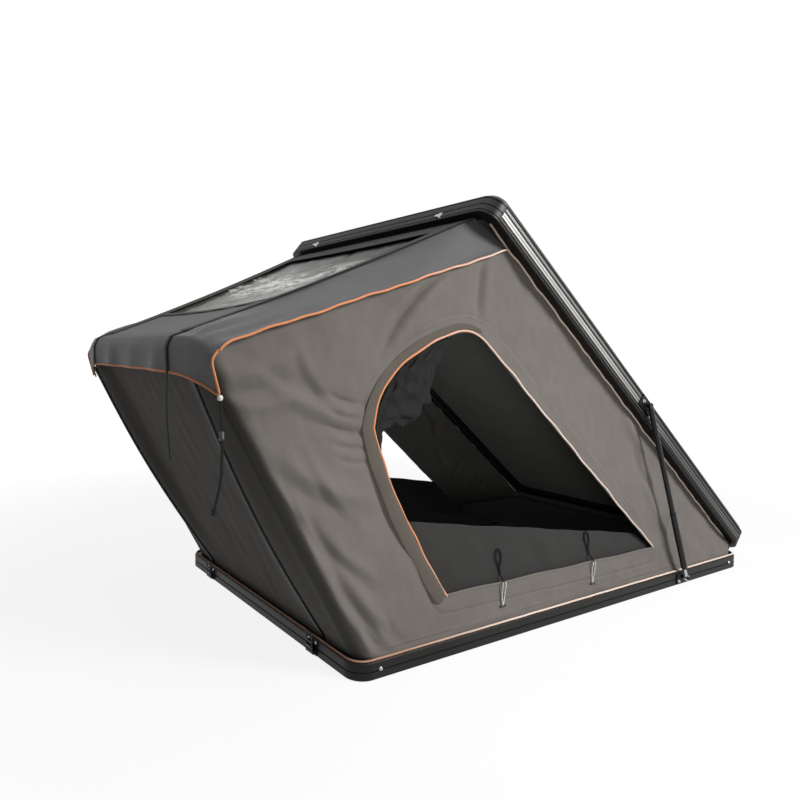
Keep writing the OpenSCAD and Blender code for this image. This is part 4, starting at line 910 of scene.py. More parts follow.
def wrap_in(x, z):
    """How far the wall turns in round its front corner."""
    s = np.clip(WRAP - front_setback(x, z), 0, WRAP)
    return WRAP - np.sqrt(np.maximum(WRAP ** 2 - s ** 2, 0))


# Where the overhang's gores end, in degrees from upright
GORES = (6.0, 12.0, 18.0, 24.0, 31.5)


def wall_fold(side):
    """How the parts of a side wall fold: the back straight down, the overhang in gores round its foot."""
    out = {"back": ((0, 0, 1), (0, 0, RIM_Z), 0.004)}
    for k, angle in enumerate(GORES):
        a = math.radians(angle)
        foot = (FOOT_X, side * WALL_HALF, FOOT_Z)
        out[f"gore{k + 1}"] = ((-math.sin(a), side * 0.09, math.cos(a)), foot, 0.015)
    return out


def face_mean(values):
    """Mean of a closed ring's values at each face's four corners."""
    pair = values + np.roll(values, -1, 0)
    return 0.25 * pair[:, :-1] + 0.25 * pair[:, 1:]


def side_wall(side, word):
    """One side wall: a ring of cloth from the door's edge out to the rim, the fly and the lid."""
    f = finishes()
    # Points along each side of the outline, from the rear of the rim
    counts = (150, 90, 12, 108, 150, 6)
    edge = []
    for k, n in enumerate(counts):
        a, b = np.array(WALL[k]), np.array(WALL[(k + 1) % len(WALL)])
        edge.append(a + (b - a) * np.linspace(0, 1, n, endpoint=False)[:, None])
    edge = np.concatenate(edge)
    ways = edge - np.array(DOOR_MID)
    outline = door_outline()
    inner = np.array(DOOR_MID) + ways * inwards_hit(ways, outline)[:, None]
    t = np.linspace(0, 1, 54)
    flat = inner[:, None] + (edge - inner)[:, None] * t[None, :, None]
    x, z = flat[..., 0], flat[..., 1]
    near = edge_distance(x, z, outline)
    reach = np.linalg.norm(edge - inner, axis=1)[:, None]
    fade = np.clip(near / 0.06, 0, 1) * np.clip((1 - t) * reach / 0.03, 0, 1)
    fade = fade * fade * (3 - 2 * fade)
    band = 0.0016 * (1 - 1 / (1 + np.exp(-(near - 0.056) / 0.0015)))
    groove = -0.0016 * np.exp(-((near - 0.060) / 0.004) ** 2)
    hem = 0.0012 / (1 + np.exp(np.minimum((z - 0.083) / 0.001, 60)))
    creases = folded(x, z, sizes().seed + (side > 0)) * fade * sizes().crease
    out = wall_out(x, z) + creases + band + groove + hem
    out = out - wrap_in(x, z)
    rows = np.stack([x, side * out, z], 2)
    angle = np.degrees(np.arctan2(-(x - FOOT_X), z - FOOT_Z))
    centre, cx = face_mean(angle), face_mean(x)
    part = np.where(cx > FOOT_X, 0, 1 + np.clip(np.searchsorted(GORES, centre), 0, len(GORES) - 1))
    name = "canvas_wall_" + word
    ring = np.concatenate([rows, rows[:1]])
    obj = merged(grid(name, ring, f["canvas"], part=part, flat=np.concatenate([flat, flat[:1]])), 1e-7)
    facing(obj, (0, side, 0))
    obj.name = "uncut"
    folds = wall_fold(side)
    names = [name + ("" if key == "back" else "_" + key) for key in folds]
    parts = divided(obj, names, sizes().cloth, f["lining"])
    for key, part_name in zip(folds, names):
        settle(parts[part_name], "base", ["wall_" + word], folds[key])
        declare_sheet(parts[part_name])
    return parts


def on_wall(points, side, lift=0.0):
    """Points of X and Z laid on the outer face of a side wall."""
    p = np.asarray(points, float)
    y = wall_out(p[:, 0], p[:, 1]) + lift
    return np.stack([p[:, 0], side * y, p[:, 1]], 1)


def offset_line(points, away):
    """An open line moved sideways in its plane, to its left where away is positive."""
    p = np.asarray(points, float)
    d = np.gradient(p, axis=0)
    d /= np.maximum(np.linalg.norm(d, axis=1)[:, None], 1e-9)
    return p + np.stack([-d[:, 1], d[:, 0]], 1) * np.asarray(away, float).reshape(-1, 1)


FOLD_DOWN = ((0, 0, 1), (0, 0, RIM_Z), 0.004)


class TENT_OT_stage(bpy.types.Operator):
    """Camera, floor, surround and soft boxes"""

    bl_idname = "tent.stage"
    bl_label = "Stage"

    def execute(self, context):
        stage = context.scene.tent_stage
        camera = bpy.data.cameras.new("camera")
        camera.sensor_width = 36
        camera.lens = stage.lens
        camera.shift_x, camera.shift_y = 0.1085, -0.0306
        camera.clip_start, camera.clip_end = 0.05, 200
        holder = link(bpy.data.objects.new("camera", camera))
        holder.location = (-2.1673, -2.2402, 0.9927)
        az, el, roll = -0.54753, 0.046523, 0.0021875
        away = Vector((-math.sin(az) * math.cos(el), math.cos(az) * math.cos(el), -math.sin(el)))
        right = away.cross(Vector((0, 0, 1))).normalized()
        up = right.cross(away)
        right, up = right * math.cos(roll) + up * math.sin(roll), up * math.cos(roll) - right * math.sin(roll)
        holder.rotation_euler = Matrix((right, up, -away)).transposed().to_euler()
        context.scene.camera = holder
        context.scene.view_settings.view_transform = "Standard"
        self.floor(stage)
        self.surround(context.scene, stage)
        for name, place, aim, size, power in (
                ("key soft box", (1.7, -4.7, 3.5), (-0.2, -0.4, 0.5), 2.0, stage.key),
                ("top soft box", (-0.8, -0.6, 5.2), (-0.3, 0.0, 0.4), 4.0, stage.top),
                ("door fill spot", (-2.25, -2.75, 0.75), (-0.05, 0.0, 0.55), 0.0, stage.fill)):
            lamp = bpy.data.lights.new(name, "AREA" if size else "SPOT")
            if size:
                lamp.shape = "DISK"
                lamp.size = size
            else:
                lamp.spot_size = math.radians(36)
                lamp.spot_blend = 1.0
                lamp.shadow_soft_size = 0.25
            lamp.energy = power
            lit = link(bpy.data.objects.new(name, lamp))
            lit.location = place
            lit.rotation_euler = (Vector(aim) - Vector(place)).to_track_quat("-Z", "Y").to_euler()
        return {"FINISHED"}

    def floor(self, stage):
        made = bpy.data.materials.new("matt pale floor")
        made.use_nodes = True
        tree = made.node_tree
        tree.nodes.clear()
        shown = seen_directly(tree)
        place = add(tree, "ShaderNodeTexCoord").outputs["Object"]
        away = add(tree, "ShaderNodeVectorMath", {"operation": "LENGTH"}, None, {0: place})
        pale = add(tree, "ShaderNodeMapRange", None,
                   {"From Min": 2.0, "From Max": 6.0, "To Min": 0.75, "To Max": 1.0},
                   {"Value": away.outputs["Value"]})
        share = add(tree, "ShaderNodeMath", {"operation": "MULTIPLY"}, None, {0: shown, 1: pale.outputs[0]})
        matt = add(tree, "ShaderNodeBsdfDiffuse", None, {"Color": (*stage.floor, 1)})
        white = add(tree, "ShaderNodeEmission", None, {"Color": (1, 1, 1, 1), "Strength": 1.17})
        mixed = add(tree, "ShaderNodeMixShader", None, None,
                    {0: share.outputs[0], 1: matt.outputs[0], 2: white.outputs[0]})
        add(tree, "ShaderNodeOutputMaterial", links={"Surface": mixed.outputs[0]})
        half = 60
        obj = shape("floor", [(-half, -half, 0), (half, -half, 0), (half, half, 0), (-half, half, 0)],
                    [[0, 1, 2, 3]], made)
        obj.location.z = -0.0005

    def surround(self, scene, stage):
        world = bpy.data.worlds.new("even surround")
        scene.world = world
        world.use_nodes = True
        tree = world.node_tree
        tree.nodes.clear()
        shown = seen_directly(tree)
        strength = add(tree, "ShaderNodeMapRange", None, {"To Min": stage.air, "To Max": 1.0},
                       {"Value": shown})
        sky = add(tree, "ShaderNodeBackground", None, {"Color": (1, 1, 1, 1)},
                  {"Strength": strength.outputs[0]})
        add(tree, "ShaderNodeOutputWorld", links={"Surface": sky.outputs[0]})


# Route of the corner cord from under its toggle, and the toggle's middle
CORD = [(-1.4717, -0.6478, 0.84665), (-1.4707, -0.6478, 0.83265), (-1.4697, -0.6478, 0.81665),
        (-1.4687, -0.6468, 0.80065), (-1.4677, -0.6468, 0.78465), (-1.4667, -0.6458, 0.76865),
        (-1.4657, -0.6458, 0.75065), (-1.4657, -0.6458, 0.73265), (-1.4657, -0.6458, 0.71465),
        (-1.4667, -0.6468, 0.69665), (-1.4677, -0.6468, 0.67865), (-1.4687, -0.6478, 0.66065),
        (-1.4717, -0.6488, 0.64365), (-1.4757, -0.6508, 0.62665), (-1.4807, -0.6518, 0.60965),
        (-1.4857, -0.6528, 0.59265), (-1.4907, -0.6538, 0.57565), (-1.4957, -0.6548, 0.55865)]
TOGGLE = (-1.4717, -0.6478, 0.85495)
HANG_FOLD = ((-0.669, -0.06, 0.743), (-0.846, -0.64, 0.103), 0.015)
TOGGLE_FOLD = ((-0.600, -0.06, 0.798), (-0.923, -0.64, 0.082), 0.015)


class TENT_OT_cord(bpy.types.Operator):
    """Loose cord, cord lock and pale toggle at the fly's right-hand corner"""

    bl_idname = "tent.cord"
    bl_label = "Corner cord"

    def execute(self, context):
        f = finishes()
        s = sizes()
        path = smooth_path(CORD, 90)
        plait = s.cord / 2 * (1 + 0.05 * np.sin(np.arange(90) * 1.9))
        cord = tube("corner_cord", path, plait, f["webbing"], 10)
        knot_at = path[-4]
        a = np.linspace(0, 2 * np.pi, 40)
        swell = 1 + 0.3 * np.cos(3 * a)
        turns = np.stack([np.cos(2 * a) * swell, np.sin(2 * a) * swell, np.sin(3 * a)], 1)
        knot_path = knot_at + 0.0042 * turns
        knot = tube("corner_cord_knot", knot_path[:-1], 0.0026, f["webbing"], 8, closed=True)
        ball = self.toggle(f)
        lock = self.lock(path, f)
        settle(cord, "base", ["tip_cord"], HANG_FOLD)
        settle(knot, "base", (), HANG_FOLD)
        settle(lock, "base", (), HANG_FOLD)
        settle(ball, "base", ["tip_toggle"], TOGGLE_FOLD)
        return {"FINISHED"}

    def toggle(self, f):
        t = np.linspace(0, np.pi, 19)
        r = 0.0078 * np.sin(t) ** 0.9
        r[[0, -1]] = 0.0016
        z = 0.008 * np.cos(t)
        z[[0, -1]] = z[[0, -1]] * 0.93
        groove = 1 - 0.06 * np.exp(-((t - np.pi / 2) / 0.08) ** 2)
        a = np.linspace(0, 2 * np.pi, 28, endpoint=False)
        rows = [[(TOGGLE[0] + q * g * np.cos(b), TOGGLE[1] + q * g * np.sin(b), TOGGLE[2] + h) for b in a]
                for q, h, g in zip(r, z, groove)]
        return outwards(grid("toggle_ball", rows, f["nylon"], around=True, caps=True))

    def lock(self, path, f):
        k = int(len(path) * 0.3)
        mid = path[k]
        a = np.linspace(0, 2 * np.pi, 20, endpoint=False)
        prof = [(0.0, 0.012), (0.0055, 0.012), (0.0066, 0.0105), (0.0066, -0.004), (0.0078, -0.006),
                (0.0078, -0.010), (0.0062, -0.012), (0.0, -0.012)]
        rows = [[(mid[0] + r * 1.05 * np.cos(b), mid[1] + r * 0.9 * np.sin(b), mid[2] + h) for b in a]
                for r, h in prof]
        return outwards(grid("cord_lock", rows, f["plastic"], around=True))


RAIL_FINISH = {
    "rail_x": ("base_rail_left", "base_rail_right"),
    "rail_y": ("base_rail_front", "base_rail_rear"),
    "rail_lid_y": ("lid_rail_front", "lid_rail_rear"),
    "rail_lid": ("lid_rail_left", "lid_rail_right"),
    "casting": ("base_corners", "lid_corners", "hinge_base_leaves", "hinge_lid_leaves", "rod_sockets",
                "strut_lid_brackets", "strut_base_brackets"),
    "roof": ("lid_skin",),
    "board": ("floor_panel",),
    "mount": ("mount_rail_left", "mount_rail_right"),
    "rubber": ("base_seal",),
    "felt": ("lid_liner",),
    "steel": ("hinge_pins", "latch_keepers", "strut_rod_left", "strut_rod_right"),
    "plated": ("latch_plates", "latch_lever_left", "latch_lever_right", "latch_bail_left",
               "latch_bail_right"),
    "strut": ("strut_cover_left", "strut_cover_right", "strut_barrel_left", "strut_barrel_right"),
}


class TENT_OT_shell(bpy.types.Operator):
    """Finishes of the rails, castings, panels, struts, hinges and latches"""

    bl_idname = "tent.shell"
    bl_label = "Shell"

    def execute(self, context):
        f = finishes()
        for finish, names in RAIL_FINISH.items():
            for name in names:
                mesh = NODES[name].data
                mesh.materials.clear()
                mesh.materials.append(f[finish])
        return {"FINISHED"}


class TENT_OT_piping(bpy.types.Operator):
    """Orange welts along the base rim and the lid"""

    bl_idname = "tent.piping"
    bl_label = "Rim piping"

    def execute(self, context):
        f = finishes()
        r = sizes().piping / 2
        rim = []
        for sx, sy, first in ((1, 1, 0), (-1, 1, 90), (-1, -1, 180), (1, -1, 270)):
            cx, cy = sx * RIM_CORNER[0], sy * RIM_CORNER[1]
            a = np.radians(np.linspace(first, first + 90, 13))
            rim.append(np.stack([cx + RIM_R * np.cos(a), cy + RIM_R * np.sin(a), 0 * a + WELT_Z], 1))
        rim = spaced(np.concatenate(rim), 900, True)
        rim[:, 2] += 0.0004 * np.sin(np.arange(900) * 0.33) * np.sin(np.arange(900) * 0.071)
        settle(tube("base_rim_piping", rim, r, f["pale_welt"], 8, closed=True), "base", ["base_piping"], None)
        runs = []
        for side in (-1, 1):
            x = np.linspace(-0.988, 0.987, 420)
            wave = 0.0015 * np.sin(2 * np.pi * x / 0.17 + side) + 0.0010 * np.sin(2 * np.pi * x / 0.083)
            spots = [lid_open(a, 0.0602 + w) for a, w in zip(x, wave)]
            y = side * (0.6128 + 0.0012 * np.sin(2 * np.pi * x / 0.21))
            line = [(p[0], b, p[1]) for p, b in zip(spots, y)]
            runs.append(tube(f"lid_welt_{side}", line, r, f["pale_welt"], 8))
        settle(joined("lid_rim_piping", runs), "lid", ["lid_piping"], None)
        return {"FINISHED"}


class TENT_OT_walls(bpy.types.Operator):
    """Side walls of canvas with their folds, the leaning front wall and the strip across the hinge"""

    bl_idname = "tent.walls"
    bl_label = "Walls"

    def execute(self, context):
        side_wall(-1, "right")
        side_wall(1, "left")
        self.front()
        self.rear()
        return {"FINISHED"}

    def rear(self):
        f = finishes()
        y = np.linspace(-0.631, 0.631, 120)[None]
        v = np.linspace(0, 1, 8)[:, None]
        z = 0.056 + 0.048 * v + 0 * y
        turn = np.clip((np.abs(y) - 0.600) / 0.030, 0, 1) ** 2
        x = 1.0 + 0.022 * v + 0.003 * np.sin(np.pi * v) * np.sin(y * 21)
        x = x + (0.973 + 0.876 * (z - WALL_FOOT_Z) - x) * turn
        # The strip takes the darkened canvas: painted shade
        obj = grid("canvas_rear_strip", np.stack([x, y + 0 * v, z], 2), f["shade"])
        thicken(facing(obj, (1, 0, 0)), sizes().cloth, f["lining"])
        settle(obj, "base", (), FOLD_DOWN)
        declare_sheet(obj)

    def front(self):
        f = finishes()
        v = np.linspace(0, 1, 90)[:, None]
        y = np.linspace(-FRONT_HALF, FRONT_HALF, 130)[None]
        high = 0.938 - 0.036 * (np.abs(y) / FRONT_HALF) ** 6
        z = WALL_FOOT_Z + (high - WALL_FOOT_Z) * v
        inside = FRONT_HALF - np.abs(y)
        edge = np.interp(z, [WALL_FOOT_Z, 0.862, 0.94], [-1.0195, -1.4555, -1.474])
        mid = np.interp(z, *front_way())
        s = np.clip(inside / 0.24, 0, 1)
        s = s * s * (3 - 2 * s)
        x = edge + (mid - edge) * s
        rod = rod_line()[1:]
        beside = np.abs(np.abs(y) - np.interp(z, rod[:, 2], rod[:, 1]))
        pushed = np.exp(-(np.maximum(beside - 0.012, 0) / 0.075) ** 2)
        pushed = pushed * np.clip(inside / 0.05, 0, 1) ** 0.5
        x = x + pushed * np.minimum(np.interp(z, rod[:, 2], rod[:, 0]) + 0.0058 - x, 0)
        hold = np.clip(v / 0.08, 0, 1) * np.clip((1 - v) / 0.06, 0, 1) * np.clip(inside / 0.05, 0, 1)
        soft = ripple(y + 0 * v, z, 31, (0.5, 0.27, 0.14), 0.006)
        soft = soft + ripple(y + 0 * v, z * 0.25, 33, (0.11, 0.06), 0.0022)
        x = x + hold * soft * (1 - pushed)
        # The front wall takes the darkened canvas: painted shade
        obj = grid("canvas_front_wall", np.stack([x, y + 0 * v, z], 2), f["shade"])
        thicken(facing(obj, (-1, 0, -0.3)), sizes().cloth, f["lining"])
        settle(obj, "base", ["front_wall"], FRONT_FOLD)
        declare_sheet(obj)


# Raised corner of the fly: where the straps and the side welts leave the lid and reach the front
FLY_LID = (-0.5263, 1.40899)
SIDE_LID = (-0.41722, 1.30664)
FLY_FRONT = (-1.51, 1.012)
FLY_CORNER = (-1.488, 0.986)
ROOF_FOLD = ((-0.927, 0, -0.374), (-0.43, 0, 1.318), 0.02)
HEM_FOLD = ((-0.55, 0, 0.835), (-0.985, 0, 0.062), 0.02)
FRONT_FOLD = ((-0.455, 0, 0.89), (-0.985, 0, 0.062), 0.02)
STRAP_FOLD = ((-0.56, 0, 0.828), (-0.93, 0, 0.11), 0.02)
# The way that the fly's roof faces
ROOF_WAY = (-0.4, 0, 1)


def roof_fold(side):
    """The roof's fold with the side edges drawn inwards."""
    return ((-0.927, side * 0.05, -0.374), (-0.43, side * 0.61, 1.318), 0.02)


# How far the fly's lower front corner is drawn in, four times over
CORNER = np.array([0.060, 0, -0.040])


def corner_share(c, u):
    """Share of the corner's rounding at a place across the fly, u from its edge's start to the corner."""
    return (u * u * np.clip(np.abs(c) - 1, 0, 1) ** 3)[..., None]


def arch(t):
    """A half wave: nothing at both ends and one in the middle."""
    return np.sin(np.pi * np.clip(t, 0, 1))


def strap_line(t):
    """The right-hand edge of the fly's top, under its strap."""
    return np.stack([FLY_LID[0] + (FLY_FRONT[0] - FLY_LID[0]) * t, -(0.57 - 0.17 * t),
                     FLY_LID[1] + (FLY_FRONT[1] - FLY_LID[1]) * t - 0.010 * arch(t)], -1)


def welt_line(t):
    """The right-hand lower edge of the fly, where its welt is sewn."""
    return np.stack([SIDE_LID[0] + (FLY_CORNER[0] - SIDE_LID[0]) * t, -(0.6142 + 0.0298 * t),
                     SIDE_LID[1] + (FLY_CORNER[1] - SIDE_LID[1]) * t], -1)


def fly_roof(c, t):
    """The fly's top and skirts. c runs from -2 at the right-hand welt, past the straps at -1 and 1, to 2."""
    c, t = np.broadcast_arrays(np.asarray(c, float), np.asarray(t, float))
    strap, side = strap_line(t), welt_line(t)
    s = np.clip(c, -1, 1)
    top = np.stack([strap[..., 0], -s * strap[..., 1], strap[..., 2] - 0.016 * (1 - s * s) * arch(t)], -1)
    k = np.clip(2 - np.abs(c), 0, 1)
    skirt = side + (strap - side) * k[..., None]
    skirt[..., 2] += 0.010 * arch(k) * t
    skirt[..., 1] *= np.where(c > 0, -1, 1)
    out = np.where((np.abs(c) <= 1)[..., None], top, skirt)
    return out + CORNER * corner_share(c, 0.5 * np.clip((t - 0.945) / 0.055, 0, 1))


# The hole for the window: half its width across the fly, and its rear edge, both as shares
HOLE_HALF, HOLE_REAR = 0.9, 0.08
# The film behind it: half its width, and its rear and front edges
FILM_HALF, FILM_REAR, FILM_FRONT = 0.925, 0.068, 0.932


def stations(stops, counts):
    """Numbers from stop to stop, with so many to each stretch and the last stop at the end."""
    last = len(counts) - 1
    runs = [np.linspace(stops[k], stops[k + 1], n, endpoint=k == last) for k, n in enumerate(counts)]
    return np.concatenate(runs)


def window_front(c):
    """Where the window ends towards the front: its edge is cut on the slant."""
    return 0.712 + 0.037 * c


def fly_hem(y):
    """Height of the valance's hem, which drops at its corners."""
    return 0.92 - 0.0568 * (np.abs(y) / 0.644) ** 6


def fly_valance(c, k):
    """The fly's front, turned down from the front bend to its hem."""
    c, k = np.broadcast_arrays(np.asarray(c, float), np.asarray(k, float))
    p = fly_roof(c, np.ones_like(c)) - CORNER * corner_share(c, 0.5 + 0 * k)
    x, y, z = p[..., 0], p[..., 1], p[..., 2]
    x = x - 0.016 * np.sin(np.minimum(k, 0.4) * math.radians(225))
    x = x + 0.005 * k * np.sin(y * math.radians(1400))
    x = x + k * 0.034 * (np.abs(y) / 0.65) ** 6
    out = np.stack([x, y, z - k * (z - fly_hem(y))], -1)
    return out + CORNER * corner_share(c, 0.5 * np.clip(1 - k / 0.45, 0, 1))


def hem_wave(c, y, z):
    """Waves of the valance from front to rear, quiet at its two corners."""
    return ripple(y, z * 0.3, 43, (0.22, 0.12), 0.007) * np.clip((2 - np.abs(c)) / 0.25, 0, 1)


class TENT_OT_fly(bpy.types.Operator):
    """Rain fly with its skirts, front valance, window, binding tape, welts and straps"""

    bl_idname = "tent.fly"
    bl_label = "Fly"

    def execute(self, context):
        self.cloth()
        self.window()
        self.binding()
        self.welts()
        self.straps()
        return {"FINISHED"}

    def cloth(self):
        f = finishes()
        c = stations((-2, -1, -HOLE_HALF, HOLE_HALF, 1, 2), (24, 5, 72, 5, 25))
        t = stations((0, HOLE_REAR, 0.92, 1), (6, 66, 10))
        k = np.linspace(0, 1, 15)[1:]
        roof = fly_roof(c[None], t[:, None])
        edge = np.clip(np.minimum(t, 1 - t)[:, None] / 0.05, 0, 1)
        edge = edge * np.clip((2 - np.abs(c))[None] / 0.2, 0, 1)
        hold = edge * np.clip(np.abs(np.abs(c) - 1)[None] / 0.12, 0, 1)
        hold = hold * np.where(np.abs(c)[None] <= 1, np.clip((t[:, None] - 0.95) / 0.03, 0, 1), 1)
        far = -(t[:, None] * 1.06 + 0 * c[None])
        soft = ripple(far, roof[..., 1], 41, (0.4, 0.2, 0.11), 0.007)
        pull = 0.004 * np.sin(roof[..., 1] * 95 + 6 * t[:, None]) * np.exp(-((t[:, None] - 0.96) / 0.12) ** 2)
        slack = 0.005 * np.sin((t[:, None] * 5.2 - np.abs(c)[None] * 1.6) * 3.1) * (np.abs(c)[None] > 1)
        roof[..., 2] += hold * (soft + pull + slack)
        front = fly_valance(c[None], k[:, None])
        front[..., 0] += hem_wave(c[None], roof[-1:, :, 1] + 0 * k[:, None], front[..., 2]) * k[:, None]
        rows = np.concatenate([roof, front])
        ct = 0.5 * (c[1:] + c[:-1])[None]
        tt = np.concatenate([0.5 * (t[1:] + t[:-1]), np.full(len(k), 2.0)])[:, None]
        part = np.where(tt > 1, 3, np.where(ct < -1, 1, np.where(ct > 1, 2, 0)))
        open_ = (np.abs(ct) < HOLE_HALF) & (tt > HOLE_REAR) & (tt < window_front(ct))
        obj = grid("fly_cloth", rows, f["fly"], part=part, keep=~open_)
        facing(obj, ROOF_WAY)
        names = ["fly_top", "fly_skirt_right", "fly_skirt_left", "fly_valance"]
        parts = divided(obj, names, sizes().cloth, f["lining"])
        for name, body, fold in (("fly_top", "lid", ROOF_FOLD), ("fly_skirt_right", "lid", roof_fold(-1)),
                                 ("fly_skirt_left", "lid", roof_fold(1)), ("fly_valance", "base", HEM_FOLD)):
            # The top takes the fly cloth's darkened copy: painted shade
            if name == "fly_top":
                parts[name].data.materials[0] = f["fly_top"]
            settle(parts[name], body, ["fly"], fold)
            declare_sheet(parts[name])

    def window(self):
        f = finishes()
        s = np.linspace(-FILM_HALF, FILM_HALF, 110)[None]
        t = np.linspace(FILM_REAR, FILM_FRONT, 96)[:, None]
        p = fly_roof(s, t)
        p[..., 2] -= 0.0035
        p[..., 0] += 0.0015
        hold = np.clip(np.minimum(t - FILM_REAR, FILM_FRONT - t) / 0.06, 0, 1)
        hold = hold * np.clip((FILM_HALF - np.abs(s)) / 0.1, 0, 1)
        rng = np.random.default_rng(53)
        crush = np.zeros(np.broadcast(s, t).shape)
        for _ in range(26):
            cy, ct, way = rng.uniform(-0.45, 0.45), rng.uniform(0.1, 0.9), rng.uniform(0, np.pi)
            a = (p[..., 1] - cy) * np.cos(way) + (t - ct) * np.sin(way)
            b = -(p[..., 1] - cy) * np.sin(way) + (t - ct) * np.cos(way)
            high, wide, long = rng.uniform(-1, 1), rng.uniform(0.012, 0.04), rng.uniform(0.1, 0.3)
            crush += high * np.exp(-(a / wide) ** 2 - (b / long) ** 2)
        p[..., 2] -= hold * (0.004 + 0.006 * np.clip(crush, -1.4, 1.4))
        obj = grid("clear_window", p, f["film"])
        thicken(facing(obj, ROOF_WAY), 0.0006)
        settle(obj, "lid", ["skylight"], ROOF_FOLD)
        declare_sheet(obj)

    def binding(self):
        f = finishes()
        long = np.linspace(0.03, 0.955, 90)[:, None]
        wide = np.linspace(-0.87, 0.87, 80)[None]
        strips = [fly_roof(side * np.linspace(0.865, 0.972, 9)[None], long) for side in (-1, 1)]
        strips.append(fly_roof(wide, np.linspace(0.03, 0.11, 7)[:, None]))
        strips.append(fly_roof(wide, window_front(wide) + np.linspace(-0.016, 0.012, 7)[:, None]))
        tapes = []
        for k, rows in enumerate(strips):
            tape = grid(f"binding_{k}", rows + np.array([-0.0012, 0, 0.003]), f["tape"])
            tapes.append(thicken(facing(tape, ROOF_WAY), 0.0012))
        settle(joined("window_binding", tapes), "lid", ["skylight"], ROOF_FOLD)

    def welts(self):
        f = finishes()
        r = sizes().piping / 2
        t = np.linspace(0, 1, 170)
        for side, word in SIDES:
            run = mirrored(fly_roof(-2 + 0 * t, t), side)
            run[:, 1] += side * 0.0036
            run[:, 2] += 0.0012 * np.sin(t * 61) + 0.0015 * np.sin(t * 23 + 1)
            edge = tube("fly_side_welt_" + word, run, r, f["piping"], 10)
            settle(edge, "lid", ["fly_piping"], roof_fold(side))
        k = np.linspace(0, 1, 24)
        drop = fly_valance(-2 + 0 * k, k)
        drop[:, 1] -= 0.0012
        c = np.linspace(-2, 2, 240)
        hem = fly_valance(c, 1 + 0 * c)
        hem[:, 0] += hem_wave(c, fly_roof(c, 1 + 0 * c)[:, 1], hem[:, 2])
        hem[:, 2] -= 0.0036
        far = fly_valance(2 + 0 * k, k)[::-1]
        far[:, 1] += 0.0012
        run = spaced(np.concatenate([drop[:-1], hem[1:-1], far[1:]]), 420)
        edge = tube("fly_hem_welt", run, r, f["piping"], 10)
        settle(edge, "base", ["fly_piping"], HEM_FOLD)

    def straps(self):
        f = finishes()
        s = sizes()
        lift = s.strap_thick / 2 + 0.0016
        for side, word, tail in ((-1, "right", 0.25), (1, "left", 0.05)):
            t = np.concatenate([[0.004], np.linspace(0.03, 1, 70)])
            top = mirrored(strap_line(t), side)
            k = np.linspace(0, 1, 16)
            over = mirrored(fly_valance(-1 + 0 * k, k), side)
            if side > 0:
                over[:, 0] = fly_valance(1 + 0 * k, k)[:, 0]
            n = 26 if tail > 0.1 else 8
            u = np.linspace(0, 1, n)[1:]
            hang = [-0.002 * np.sin(u * 3) + 0.006 * u * u, 0.004 * np.sin(u * 4.2), -tail * u]
            end = over[-1] + np.stack(hang, 1)
            line = np.concatenate([top, over[1:], end])
            d = np.gradient(line, axis=0)
            up = np.stack([d[:, 2], 0 * d[:, 2], -d[:, 0]], 1)
            up /= np.linalg.norm(up, axis=1)[:, None]
            line = line + up * lift
            cut = len(top)
            a = ribbon("fly_strap_top_" + word, line[:cut + 1], up[:cut + 1], s.strap, s.strap_thick,
                       f["webbing"])
            b = ribbon("fly_strap_front_" + word, line[cut:], up[cut:], s.strap, s.strap_thick, f["webbing"])
            settle(a, "lid", ["fly_strap_" + word], ROOF_FOLD)
            settle(b, "base", ["fly_strap_" + word], STRAP_FOLD)


# A sprung rod: its foot in the socket, where it leaves that, where it meets the fly, and how far it bows
ROD_FOOT, ROD_START, ROD_END = (-1.0317, 0.44, 0.0563), (-1.0317, 0.44, 0.068), (-1.498, 0.524, 0.9)
ROD_BOW = 0.026


def rod_line():
    """Points of the left-hand rod, from its foot up."""
    t = np.linspace(0, 1, 14)[:, None]
    bowed = np.array(ROD_START) + (np.array(ROD_END) - np.array(ROD_START)) * t
    bowed[:, 0] = np.round(bowed[:, 0] - ROD_BOW * arch(t[:, 0]), 5)
    bowed[:, 1] = np.round(bowed[:, 1], 6)
    return np.concatenate([[ROD_FOOT], bowed])


class TENT_OT_rods(bpy.types.Operator):
    """Sprung awning rods from the base sockets to the fly"""

    bl_idname = "tent.rods"
    bl_label = "Awning rods"

    def execute(self, context):
        f = finishes()
        r = sizes().rod / 2
        for side, word in SIDES:
            path = smooth_path(rod_line(), 120)
            path[:, 1] *= side
            radius = np.full(120, r)
            radius[2:9] = r * 1.25
            radius[-5:] = r * 1.15
            radius[-1] = r * 0.6
            rod = tube("awning_rod_" + word, path, radius, f["rod"], 14)
            fold = ((-0.481, side * 0.087, 0.872), (ROD_FOOT[0], side * ROD_FOOT[1], 0.0575), 0.005)
            settle(rod, "base", ["awning_rods"], fold)
        return {"FINISHED"}


# A door panel: height of its foot, and the share of its length that stands up in the doorway
PANEL_FOOT_Z, PANEL_STANDS = 0.163, 0.45
# What lies on the bed folds down on it, and the ties fold down on the rim
BED_FOLD = ((0, 0, 1), (0, 0, 0.0925), 0.06)
TIE_FOLD = ((0, 0, 1), (0, 0, RIM_Z), 0.02)
# The gathered mesh lies this far inside the door's edge, and the foot of it is drawn forwards
MESH_INSET = 0.01
MESH_FOOT = ((-0.032, 0.01), (-0.02, 0), (-0.01, 0))


def mesh_edge():
    """The gathered mesh's outer edge in X and Z, up the front of the door and over its top, to 0.1 mm."""
    door = np.concatenate([curve((-0.678, SILL), DOOR_PULL, DOOR_BULGE, 6)[3:],
                           curve(DOOR_BULGE, DOOR_SHOULDER, DOOR_TOP, 6), [DOOR_TOP]])
    inwards = np.array(DOOR_MID) - door
    edge = door + MESH_INSET * inwards / np.linalg.norm(inwards, axis=1)[:, None]
    edge[:len(MESH_FOOT)] += MESH_FOOT
    return np.round(edge, 4)


